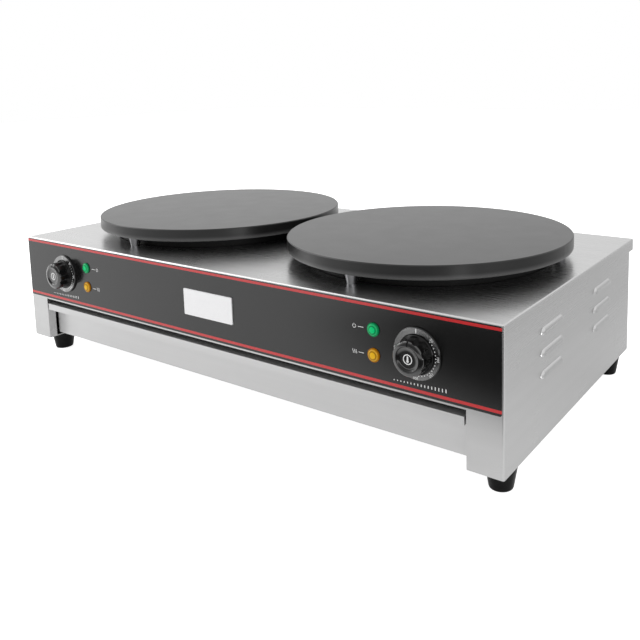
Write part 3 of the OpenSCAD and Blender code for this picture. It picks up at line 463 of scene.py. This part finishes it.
def rings_about(tree, centre, pitch):
    """The distance from an axis that points to the front, and grooves of that pitch round it."""
    where = add(tree, "TexCoord").outputs["Object"]
    moved = add(tree, "Mapping", Vector=where, Location=[-c for c in centre]).outputs[0]
    away = calc_vector(tree, "LENGTH", calc_vector(tree, "MULTIPLY", moved, (1, 0, 1)))
    return away, calc(tree, "SINE", calc(tree, "MULTIPLY", away, 2 * math.pi / pitch))


def lens_finish(name, centre, deep, painted_lit_middle):
    material, tree, shader = finish_of(name, deep, 0.20, Coat_Weight=0.06, IOR=1.25)
    # The emission is a painted glow, and the colour ramp below paints light and shade across the
    # lens.
    shader.inputs["Emission Strength"].default_value = LENS_PAINTED_GLOW
    away, grooves = rings_about(tree, centre, LENS_PITCH)
    painted_light_ramp = add(tree, "ValToRGB", Fac=ramp(tree, away, 0.0, 1.0, 0.0, LENS_R))
    step, bezel = [STEP_PAINTED_SHADE * d for d in deep], [BEZEL_PAINTED_HIGHLIGHT * b + BEZEL_HIGHLIGHT_LIFT for b in painted_lit_middle]
    stops = painted_light_ramp.color_ramp.elements
    stops[0].position, stops[0].color = 0.40, (*painted_lit_middle, 1)
    stops[1].position, stops[1].color = 0.98, (*step, 1)
    for place, colour in ((0.55, step), (0.72, bezel), (0.86, deep)):
        stops.new(place).color = (*colour, 1)
    painted_lens_colour, bump = painted_light_ramp.outputs["Color"], relief(tree, grooves, LENS_BUMP, LENS_DEPTH)
    drive(tree, shader, Base_Color=painted_lens_colour, Emission_Color=painted_lens_colour, Normal=bump)
    return material


for lamp, (deep, painted_lit_middle) in LENSES.items():
    for side in ("left", "right"):
        low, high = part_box(f"{lamp}_{side}")
        centre = [(a + b) / 2 for a, b in zip(low, high)]
        wear(lens_finish(f"{lamp}_{side}_lens", centre, deep, painted_lit_middle), f"{lamp}_{side}")

# %% [markdown]
# ## Dial rings
# Each ring is a turned aluminium disc with a satin face. The tool leaves very fine rings in it, and
# these spread the light across the rings, so that bright and dark rays seem to run out from the
# middle. A faint mottle keeps the face from looking like glass. Beyond the face the ring's side is
# painted near black and not metallic, as painted shade.

# %% Dial ring finish
DIAL_FACE_R, DIAL_PITCH, DIAL_BUMP, DIAL_DEPTH = 0.02905, 0.00035, 0.22, 0.00005
DIAL_GREY, DIAL_EDGE_PAINTED_SHADE = 0.31, (0.008, 0.008, 0.008, 1)


def dial_finish(name, centre, tone):
    material, tree, shader = finish_of(name, (tone, tone, tone), 0.16, metallic=1.0)
    grain = use(tree, grained, Scale=1500.0, Coarse=120.0)
    away, rings = rings_about(tree, centre, DIAL_PITCH)
    # Outside this radius the ring's side gets painted shade: near black and not metallic.
    face = calc(tree, "LESS_THAN", away, DIAL_FACE_R)
    colour = blend(tree, face, DIAL_EDGE_PAINTED_SHADE, mottled(tree, grain, tone))
    bump = relief(tree, rings, DIAL_BUMP, DIAL_DEPTH)
    drive(tree, shader, Base_Color=colour, Metallic=face, Normal=bump)
    return material


for side in ("left", "right"):
    low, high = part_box(f"dial_ring_{side}")
    wear(dial_finish(f"dial_grey_{side}", (low + high) / 2, DIAL_GREY), f"dial_ring_{side}")

# %% [markdown]
# ## Building small pieces
# The remaining pieces are made as meshes. A turned shape starts as half a section, which is spun
# round its axis. All of them are built standing on z = 0 with their axis up, and then one matrix
# lays them down where they belong. Every piece keeps its origin at the frame's origin.

# %% Piece helpers
SHARP, FULL_TURN = 0.6, 2 * math.pi


def matrix(x_axis, y_axis, z_axis, place):
    rotation = Matrix([Vector(v) for v in (x_axis, y_axis, z_axis)]).transposed().to_4x4()
    return Matrix.Translation(Vector(place)) @ rotation


def facing_front(x, y, z):
    """Lays a shape down so that its top looks at a person in front of the appliance."""
    return matrix((1, 0, 0), (0, 0, 1), (0, -1, 0), (x, y, z))


def facing_back(x, y, z):
    return matrix((-1, 0, 0), (0, 0, 1), (0, 1, 0), (x, y, z))


def turned(section, steps):
    """Spins half a section of (radius, height) points round the z axis into a closed mesh."""
    bm = bmesh.new()
    points = [bm.verts.new((r, 0, h)) for r, h in section]
    for a, b in zip(points, points[1:]):
        bm.edges.new((a, b))
    bmesh.ops.spin(
        bm,
        geom=bm.verts[:] + bm.edges[:],
        cent=(0, 0, 0),
        axis=(0, 0, 1),
        angle=FULL_TURN,
        steps=steps,
        use_merge=True,
    )
    bmesh.ops.remove_doubles(bm, verts=bm.verts, dist=1e-6)
    bmesh.ops.recalc_face_normals(bm, faces=bm.faces)
    return bm


def append(bm, other, *places):
    """Adds the bmesh other to bm, once for each place, and frees it."""
    part = bpy.data.meshes.new("part")
    other.to_mesh(part)
    other.free()
    for place in places:
        start = len(bm.verts)
        bm.from_mesh(part)
        bm.verts.ensure_lookup_table()
        bmesh.ops.transform(bm, matrix=place, verts=bm.verts[start:])
    bpy.data.meshes.remove(part)
    return bm


def piece(name, bm, material, places, sharp=SHARP):
    """Turns a bmesh into an object, once for each place, with soft shading and crisp edges."""
    whole = append(bmesh.new(), bm, *places)
    mesh = bpy.data.meshes.new(name)
    whole.to_mesh(mesh)
    whole.free()
    mesh.polygons.foreach_set("use_smooth", [True] * len(mesh.polygons))
    mesh.set_sharp_from_angle(angle=sharp)
    mesh.materials.append(material)
    obj = bpy.data.objects.new(name, mesh)
    bpy.context.scene.collection.objects.link(obj)
    print(name, len(mesh.polygons), "faces")
    return obj


# %% [markdown]
# ## Knobs
# Each knob is moulded in black plastic: a thin skirt, a grip with eight finger flutes, a smooth
# face and a dished middle with a printed symbol. The section is spun, then the flutes are pressed
# in by moving the points of the grip towards the axis, which keeps the mesh closed and its edges
# soft. A notch in the face's upper edge points at the dial.

# %% Knob body
KNOB_X, KNOB_Z, KNOB_BASE_Y, DISH_H, KNOB_STEPS = 0.328, 0.1475, -0.2192, 0.0196, 240
GRIP_R, FLUTES, FLUTE_R, FLUTE_IN = 0.0205, 8, 0.0100, 0.0016
FLUTE_FROM_H, FLUTE_RUN, FLUTE_FROM_R = 0.0036, 0.0026, 0.0150
NOTCH_HALF, NOTCH_FROM_R, NOTCH_FROM_H, NOTCH_DEEP = 0.00085, 0.0146, 0.0180, 0.0014
KNOB_SECTION = [
    (0.0, 0.0), (0.0190, 0.0), (0.0213, 0.0), (0.0217, 0.0004), (0.0217, 0.0021),
    (0.0213, 0.0025), (0.0209, 0.0028), (0.0206, 0.0034), (0.0205, 0.0046), (0.0204, 0.0062),
    (0.02035, 0.0080), (0.0203, 0.0105), (0.0202, 0.0130), (0.0201, 0.0155), (0.0200, 0.0172),
    (0.0199, 0.0182), (0.0196, 0.0190), (0.0190, 0.01965), (0.0182, 0.0201), (0.0173, 0.02045),
    (0.0164, 0.02075), (0.0156, 0.0210), (0.0149, 0.02115), (0.0143, 0.0212), (0.0137, 0.0211),
    (0.0131, 0.0208), (0.0123, 0.0204), (0.0115, 0.0200), (0.0106, 0.01975), (0.0096, DISH_H),
    (0.0085, DISH_H), (0.0, DISH_H),
]


def flute_depth(angle, radius):
    """How far a point of the grip moves in: the flutes are round cuts spaced evenly round it."""
    pitch = FULL_TURN / FLUTES
    off = (angle - math.pi / 2) % pitch - pitch / 2
    centre = GRIP_R + FLUTE_R - FLUTE_IN
    across = centre * math.sin(off)
    if abs(across) >= FLUTE_R:
        return 0.0
    wall = centre * math.cos(off) - math.sqrt(FLUTE_R**2 - across**2)
    return max(0.0, radius - wall)


def knob_mesh():
    bm = turned(KNOB_SECTION, KNOB_STEPS)
    for v in bm.verts:
        radius, angle = math.hypot(v.co.x, v.co.y), math.atan2(v.co.y, v.co.x)
        if v.co.z > FLUTE_FROM_H and radius > FLUTE_FROM_R:
            rise = min(1.0, (v.co.z - FLUTE_FROM_H) / FLUTE_RUN)
            moved = radius - flute_depth(angle, radius) * rise * rise * (3 - 2 * rise)
            v.co.x, v.co.y = moved * math.cos(angle), moved * math.sin(angle)
        if abs(v.co.x) < NOTCH_HALF and v.co.y > NOTCH_FROM_R and v.co.z > NOTCH_FROM_H:
            v.co.z -= NOTCH_DEEP
    bmesh.ops.recalc_face_normals(bm, faces=bm.faces)
    return bm


for side, x in (("left", -KNOB_X), ("right", KNOB_X)):
    place = facing_front(x, KNOB_BASE_Y, KNOB_Z)
    knob = piece(f"moulded_knob_{side}", knob_mesh(), knob_black, [place])
    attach(knob, f"knob_{side}_body")
    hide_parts(f"knob_{side}")

# %% [markdown]
# ## Prints
# Ink sits on the surface as a thin film, so each print is a flat shape with a very small thickness.
# Text is used only for plain numbers, and it is turned into a mesh before it is laid down.


# %% Print helpers
INK = 0.00006


def flat(outline, bm=None):
    """A closed outline as a thin slab of ink, added to bm."""
    bm = bm or bmesh.new()
    face = bm.faces.new([bm.verts.new((x, y, 0)) for x, y in outline])
    top = bmesh.ops.extrude_face_region(bm, geom=[face])["geom"]
    raised = [v for v in top if isinstance(v, bmesh.types.BMVert)]
    bmesh.ops.translate(bm, vec=(0, 0, INK), verts=raised)
    bmesh.ops.recalc_face_normals(bm, faces=bm.faces)
    return bm


def ribbon(path, width, bm=None):
    """A thin line of ink of even width along a path."""
    left, right = [], []
    for i, (x, y) in enumerate(path):
        ax, ay = path[max(0, i - 1)]
        bx, by = path[min(len(path) - 1, i + 1)]
        reach = width / 2 / math.hypot(bx - ax, by - ay)
        nx, ny = -(by - ay) * reach, (bx - ax) * reach
        left.append((x + nx, y + ny))
        right.append((x - nx, y - ny))
    return flat(left + right[::-1], bm)


def arc(radius, start, end, steps, cy=0.0):
    """Points on an arc about (0, cy), between two angles in degrees."""
    turn = [math.radians(start + (end - start) * i / steps) for i in range(steps + 1)]
    return [(radius * math.cos(a), cy + radius * math.sin(a)) for a in turn]


def finished_mesh(obj):
    """The mesh of an object after its modifiers, or of its text."""
    bpy.context.view_layer.update()
    depsgraph = bpy.context.evaluated_depsgraph_get()
    return bpy.data.meshes.new_from_object(obj.evaluated_get(depsgraph))


def taken(mesh):
    """A mesh as a bmesh. The mesh is removed."""
    bm = bmesh.new()
    bm.from_mesh(mesh)
    bpy.data.meshes.remove(mesh)
    return bm


def number(text, height):
    curve = bpy.data.curves.new("number_" + text, "FONT")
    curve.body, curve.size, curve.align_x, curve.align_y = text, height, "CENTER", "CENTER"
    curve.extrude, curve.resolution_u = INK / 2, 3
    holder = bpy.data.objects.new("number_" + text, curve)
    bpy.context.scene.collection.objects.link(holder)
    bm = taken(finished_mesh(holder))
    bpy.data.objects.remove(holder)
    bmesh.ops.remove_doubles(bm, verts=bm.verts, dist=1e-7)
    return bm


# %% [markdown]
# The dial rings carry a mark at the top, dots round the heated part of the turn and the numbers 50
# to 300. The knob turns clockwise, so the angles grow clockwise from the top.

# %% Dial marks
RING_Y, STEP, STEPS = -0.2214, 45.5, 6
TOP_MARK = ((-0.0006, 0.0238), (0.0006, 0.0238), (0.0006, 0.0288), (-0.0006, 0.0288))
DOTS_A_STEP, DOT_R, DOT_CIRCLE_R = 5, 0.00065, 0.0245
NUMBER_H, NUMBER_CIRCLE_R = 0.0043, 0.0271


def on_dial(angle, radius):
    """Turns a shape so that its top points away from the axis at a clockwise angle."""
    a = math.radians(angle)
    out, along = Vector((math.sin(a), math.cos(a), 0)), Vector((math.cos(a), -math.sin(a), 0))
    return matrix(along, out, (0, 0, 1), radius * out)


def dial_marks():
    bm = flat(TOP_MARK)
    for i in range(DOTS_A_STEP * (STEPS - 1) + 1):
        dot = flat(arc(DOT_R, 0, 345, 23))
        append(bm, dot, on_dial(STEP + i * STEP / DOTS_A_STEP, DOT_CIRCLE_R))
    for i in range(1, STEPS + 1):
        append(bm, number(str(50 * i), NUMBER_H), on_dial(STEP * i, NUMBER_CIRCLE_R))
    return bm


for side, x in (("left", -KNOB_X), ("right", KNOB_X)):
    place = facing_front(x, RING_Y, KNOB_Z)
    marks = piece(f"dial_marks_{side}", dial_marks(), print_white, [place])
    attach(marks, "housing")

# %% [markdown]
# The panel itself carries plain signs: a power sign beside the green lamp, a heat sign of three
# waves beside the amber lamp, each with a short line to its lamp, and a scale of bars under the
# knob that grow towards more heat.

# %% Panel signs
PANEL_Y, LINE = -0.2184, 0.0006
SIGN_X, POWER_Z, HEAT_Z = 0.2430, 0.1640, 0.1335
LEADER_X, LEADER_LINE = (0.2485, 0.2560), 0.0007
WAVE_GAP, WAVE_SWAY, WAVE_RISE = 0.0024, 0.0006, 0.0004
SCALE_X, SCALE_Z, SCALE_HALF, BARS, BAR_PITCH = 0.3300, 0.1125, 0.0330, 16, 0.0044
BAR_W, BAR_FOOT, BAR_H, BAR_GROWTH = 0.0012, -0.0021, 0.0012, 0.0002


def power_sign():
    """An open ring with a short upright line in its gap."""
    bm = ribbon(arc(0.0022, -235, 55, 40), LINE)
    return ribbon([(0, 0.0006), (0, 0.0032)], LINE, bm)


def heat_sign():
    """Three upright waves side by side."""
    bm = bmesh.new()
    wave = [(WAVE_SWAY * math.sin(t * math.pi / 6), WAVE_RISE * (t - 6)) for t in range(13)]
    for shift in (-WAVE_GAP, 0.0, WAVE_GAP):
        ribbon([(x + shift, y) for x, y in wave], LINE, bm)
    return bm


def heat_scale():
    """Bars that grow from left to right."""
    bm = bmesh.new()
    for i in range(BARS):
        x, tall = -SCALE_HALF + BAR_PITCH * i, BAR_H + BAR_GROWTH * i
        ribbon([(x, BAR_FOOT), (x, BAR_FOOT + tall)], BAR_W, bm)
    return bm


for side, s in (("left", -1), ("right", 1)):
    signs = bmesh.new()
    append(signs, power_sign(), Matrix.Translation((s * SIGN_X, POWER_Z, 0)))
    append(signs, heat_sign(), Matrix.Translation((s * SIGN_X, HEAT_Z, 0)))
    for z in (POWER_Z, HEAT_Z):
        ribbon([(s * x, z) for x in LEADER_X], LEADER_LINE, signs)
    append(signs, heat_scale(), Matrix.Translation((s * SCALE_X, SCALE_Z, 0)))
    place = facing_front(0, PANEL_Y, 0)
    print_piece = piece(f"panel_signs_{side}", signs, print_white, [place])
    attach(print_piece, "housing")

# %% [markdown]
# A small heat symbol is printed in each knob's dish: a ring with a thermometer in it.

# %% Knob symbols
SYMBOL_R, SYMBOL_LINE = 0.0052, 0.0011


def knob_symbol():
    """A ring, drawn as two halves, round a stem that ends in a bulb."""
    bm = bmesh.new()
    for start in (90, -90):
        ribbon(arc(SYMBOL_R, start, start + 180, 30), SYMBOL_LINE, bm)
    stem, bulb = arc(0.0009, 0, 180, 12, cy=0.0028), arc(0.0014, 140, 400, 24, cy=-0.0022)
    return flat(stem + bulb, bm)


for side, x in (("left", -KNOB_X), ("right", KNOB_X)):
    place = facing_front(x, KNOB_BASE_Y - DISH_H, KNOB_Z)
    symbol = piece(f"knob_symbol_{side}", knob_symbol(), print_white, [place])
    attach(symbol, f"knob_{side}_body")

# %% [markdown]
# ## Screws
# The flange screws and the rear panel screws are pan heads with a cross recess. One screw is turned
# from a section, with rings for its thread, and a cross is cut into the head by a Boolean. Its
# copies are then laid down at each place.

# %% Screw
HEAD_R, HEAD_H, SHANK_R, SHANK_L = 0.0036, 0.0021, 0.0020, 0.0058
THREAD_RINGS, THREAD_PITCH, THREAD_IN, SCREW_STEPS, SCREW_SHARP = 7, 0.0007, 0.00035, 32, 0.5
CROSS_L, CROSS_W, CROSS_H, CROSS_UP = 0.0042, 0.0009, 0.0030, 0.0002


def screw_mesh():
    head = [
        (0.0, HEAD_H), (0.0014, HEAD_H - 0.00008), (0.0024, HEAD_H - 0.0003),
        (0.0031, HEAD_H - 0.0008), (0.0035, HEAD_H - 0.0014), (HEAD_R, 0.0003),
        (HEAD_R - 0.0002, 0.0), (SHANK_R, 0.0),
    ]
    thread = []
    for i in range(THREAD_RINGS):
        low = -0.0006 - THREAD_PITCH * i
        crest = [(SHANK_R, low), (SHANK_R, low - 0.0001)]
        thread += [*crest, (SHANK_R - THREAD_IN, low - THREAD_IN)]
    tip = [(SHANK_R - 0.0004, -SHANK_L + 0.0004), (SHANK_R - 0.0008, -SHANK_L), (0.0, -SHANK_L)]
    return turned(head + thread + tip, SCREW_STEPS)


def cross_cutter():
    """Two crossed bars that reach from above into the head."""
    bm = bmesh.new()
    for turn in (0, 90):
        bar = Matrix.Rotation(math.radians(turn), 4, "Z")
        bar = bar @ Matrix.Diagonal((CROSS_L, CROSS_W, CROSS_H, 1))
        cube = bmesh.ops.create_cube(bm, size=1, matrix=bar)
        bmesh.ops.translate(bm, vec=(0, 0, HEAD_H + CROSS_UP), verts=cube["verts"])
    return bm


def cut_with(bm, cutter, name):
    """The shape bm less the shape cutter, as a new bmesh."""
    objects = []
    for label, part in (("body", bm), ("cutter", cutter)):
        mesh = bpy.data.meshes.new(f"{name}_{label}")
        part.to_mesh(mesh)
        part.free()
        objects.append(bpy.data.objects.new(f"{name}_{label}", mesh))
        bpy.context.scene.collection.objects.link(objects[-1])
    change = objects[0].modifiers.new("cut", "BOOLEAN")
    change.operation, change.solver = "DIFFERENCE", "EXACT"
    change.object, change.use_self = objects[1], True
    done = taken(finished_mesh(objects[0]))
    for obj in objects:
        mesh = obj.data
        bpy.data.objects.remove(obj)
        bpy.data.meshes.remove(mesh)
    return done


def recessed_screw(name):
    bm = cut_with(screw_mesh(), cross_cutter(), name)
    bmesh.ops.recalc_face_normals(bm, faces=bm.faces)
    return bm


# %% [markdown]
# Five screws go up through the flange under the strip, spread evenly over its width. Six hold the
# rear panel, three at each end. The boxes of the CAD screws give the rows and their ends.

# %% Screws in place
low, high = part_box("floor_screws")
flange_y, flange_z = (low.y + high.y) / 2, low.z + HEAD_H
half = high.x - HEAD_R
down = [
    matrix((1, 0, 0), (0, -1, 0), (0, 0, -1), (half * i / 2, flange_y, flange_z))
    for i in range(-2, 3)
]
screw = recessed_screw("flange_screw")
flange_screws = piece("flange_screws", screw, zinc_steel, down, sharp=SCREW_SHARP)
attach(flange_screws, "housing")
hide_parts("floor_screws")

ROW_DROPS = (0.0, 0.037, 0.110)
low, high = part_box("rear_panel_screws")
back_y, half = high.y - HEAD_H, high.x - HEAD_R
rows = [high.z - HEAD_R - drop for drop in ROW_DROPS]
back = [facing_back(s * half, back_y, z) for s in (-1, 1) for z in rows]
screw = recessed_screw("panel_screw")
panel_screws = piece("panel_screws", screw, zinc_steel, back, sharp=SCREW_SHARP)
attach(panel_screws, "housing")
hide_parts("rear_panel_screws")

# %% [markdown]
# ## Cable glands
# A gland has a hexagon at the panel and a ribbed clamping nut behind it, with an open bore. It is
# turned as one tube section. Its ribs and the flats of its hexagon are then made by moving points
# towards the axis.

# %% Glands
BORE_R, NECK_L, THREAD_R, RIBS, RIB_IN, GLAND_STEPS = 0.0055, 0.011, 0.0091, 24, 0.0006, 144
HEXAGON_H, GLAND_OUT, FLAT_TO_CORNER, GLAND_SHARP = 0.005, 0.018, 0.866, 0.5


def gland_mesh():
    inner = [(BORE_R, -NECK_L), (BORE_R, GLAND_OUT - 0.0004), (BORE_R + 0.0004, GLAND_OUT)]
    dome = [
        (0.0080, GLAND_OUT), (0.0088, GLAND_OUT - 0.0006), (0.0094, GLAND_OUT - 0.0016),
        (0.0102, GLAND_OUT - 0.0030), (0.0103, GLAND_OUT - 0.0036),
    ]
    grip = [(0.0103, 0.0090), (0.0103, 0.0064), (0.0099, 0.0058)]
    flange = [
        (0.0098, HEXAGON_H), (0.0118, HEXAGON_H), (0.0125, HEXAGON_H - 0.0006), (0.0125, 0.0),
    ]
    thread = [(THREAD_R, 0.0)]
    for i in range(6):
        low = -0.0010 - 0.0015 * i
        thread += [(THREAD_R, low), (THREAD_R - 0.0006, low - 0.0005)]
    thread += [(THREAD_R - 0.0006, -NECK_L), (BORE_R, -NECK_L)]
    bm = turned(inner + dome + grip + flange + thread, GLAND_STEPS)
    for v in bm.verts:
        radius, angle = math.hypot(v.co.x, v.co.y), math.atan2(v.co.y, v.co.x)
        new = radius
        if radius > 0.0100 and 0.0060 < v.co.z < GLAND_OUT - 0.0032:
            new = radius - RIB_IN * (0.5 - 0.5 * math.cos(RIBS * angle))
        elif radius > 0.0110 and -0.0001 < v.co.z <= HEXAGON_H:
            off = (angle + math.pi / 6) % (math.pi / 3) - math.pi / 6
            new = radius * FLAT_TO_CORNER / math.cos(off)
        v.co.x, v.co.y = new * math.cos(angle), new * math.sin(angle)
    return bm


for side in ("left", "right"):
    low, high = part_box(f"cable_gland_{side}")
    middle = (low + high) / 2
    place = facing_back(middle.x, high.y - GLAND_OUT, middle.z)
    gland = piece(f"ribbed_gland_{side}", gland_mesh(), moulded_black, [place], sharp=GLAND_SHARP)
    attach(gland, "housing")
    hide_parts(f"cable_gland_{side}")

# %% [markdown]
# ## Floor and light
# A white floor and a white room give the soft even light of a product picture. Shiny sheet shows
# whatever stands round it, so a studio lays dark cloth where a reflection must be dark: here on the
# floor in front and on the right. The floor itself glows a little and still looks plain and white.

# %% Floor
FLOOR_SEEN, FLOOR_DULL, GLOW_SEEN, GLOW = 0.9, 0.62, 0.80, 0.32
bm = bmesh.new()
bmesh.ops.create_grid(bm, x_segments=1, y_segments=1, size=8)
floor_mesh = bpy.data.meshes.new("floor")
bm.to_mesh(floor_mesh)
bm.free()
floor = bpy.data.objects.new("floor", floor_mesh)
bpy.context.scene.collection.objects.link(floor)
floor_white, tree, shader = finish_of(
    "floor_white", (FLOOR_SEEN,) * 3, 0.9, Emission_Color=(1, 1, 1, 1)
)
seen = add(tree, "LightPath").outputs["Is Camera Ray"]
spot = add(tree, "TexCoord").outputs["Object"]


def cloth(middle, half, level, fade):
    """1 away from an oval cloth on the floor, and that level on it, with a soft edge."""
    in_halves = calc_vector(tree, "DIVIDE", calc_vector(tree, "SUBTRACT", spot, middle), half)
    return ramp(tree, calc_vector(tree, "LENGTH", in_halves), level, 1.0, *fade, smooth=True)


in_front = cloth((0.72, -0.68, 0.0), (0.85, 0.33, 1.0), 0.02, (0.72, 1.12))
beside = cloth((1.35, 0.70, 0.0), (1.20, 1.00, 1.0), 0.60, (0.55, 1.25))
level = calc(tree, "MULTIPLY", in_front, beside)
shade = pick(tree, seen, calc(tree, "MULTIPLY", level, FLOOR_DULL), FLOOR_SEEN)
glow = pick(tree, seen, calc(tree, "MULTIPLY", level, GLOW), GLOW_SEEN)
drive(tree, shader, Base_Color=grey(tree, shade), Emission_Strength=glow)
floor_mesh.materials.append(floor_white)
print("floor with", len(tree.nodes), "nodes")

# %% [markdown]
# The room is white too, but in reflections it has two darker sides: one towards the front, a little
# to the left, and one on the right that fades out higher up. Seen directly it stays white.

# %% Room
FRONT_WAY = Vector((-0.30, -0.95, -0.05)).normalized()
RIGHT_WAY = Vector((1.0, 0.35, 0.0)).normalized()
FRONT_DARK, FRONT_EDGE = 0.18, (0.62, 0.97)
RIGHT_DARK, RIGHT_EDGE, RIGHT_TOP = 0.48, (-0.55, 1.0), (0.10, 0.45)


def darker_side(tree, ray, way, dark, edge):
    """1 away from a direction, falling to dark towards it."""
    towards = calc_vector(tree, "DOT_PRODUCT", ray, way)
    return ramp(tree, towards, 1.0, dark, *edge, smooth=True)


world = bpy.data.worlds.new("room")
bpy.context.scene.world = world
world.use_nodes = True
tree = world.node_tree
ground = tree.nodes["Background"]
ray = add(tree, "TexCoord").outputs["Generated"]
front = darker_side(tree, ray, FRONT_WAY, FRONT_DARK, FRONT_EDGE)
right = darker_side(tree, ray, RIGHT_WAY, RIGHT_DARK, RIGHT_EDGE)
upward = add(tree, "SeparateXYZ", i0=ray).outputs["Z"]
high_up = ramp(tree, upward, 0.0, 1.0, *RIGHT_TOP, smooth=True)
both = calc(tree, "MULTIPLY", front, pick(tree, high_up, right, 1.0))
seen = add(tree, "LightPath").outputs["Is Camera Ray"]
tree.links.new(pick(tree, seen, both, 1.0), ground.inputs["Strength"])
ground.inputs["Color"].default_value = (1, 1, 1, 1)
print("room with", len(tree.nodes), "nodes")

# %% [markdown]
# Two large soft lamps on the left, one of them high up, and a narrow upright one on the right add
# shape. The high one also draws the line of light on the deck's front edge.


# %% Lamps
def soft_lamp(name, place, aim, size, power):
    lamp = bpy.data.objects.new(name, bpy.data.lights.new(name, "AREA"))
    lamp.data.shape = "RECTANGLE"
    lamp.data.size, lamp.data.size_y = size
    lamp.data.energy = power
    lamp.location = place
    lamp.rotation_mode = "QUATERNION"
    lamp.rotation_quaternion = (Vector(aim) - Vector(place)).to_track_quat("-Z", "Y")
    bpy.context.scene.collection.objects.link(lamp)


soft_lamp("lamp_above", (-2.1, -0.3, 2.0), (-0.2, -0.1, 0.1), (1.6, 1.6), 12)
soft_lamp("lamp_left", (-2.4, -1.2, 1.1), (-1.0, -0.5, 0.0), (1.6, 1.2), 9)
soft_lamp("strip_right", (1.5, -0.95, 0.21), (0.43, 0.0, 0.14), (0.14, 0.42), 2)
bpy.context.scene.view_settings.view_transform = "Standard"
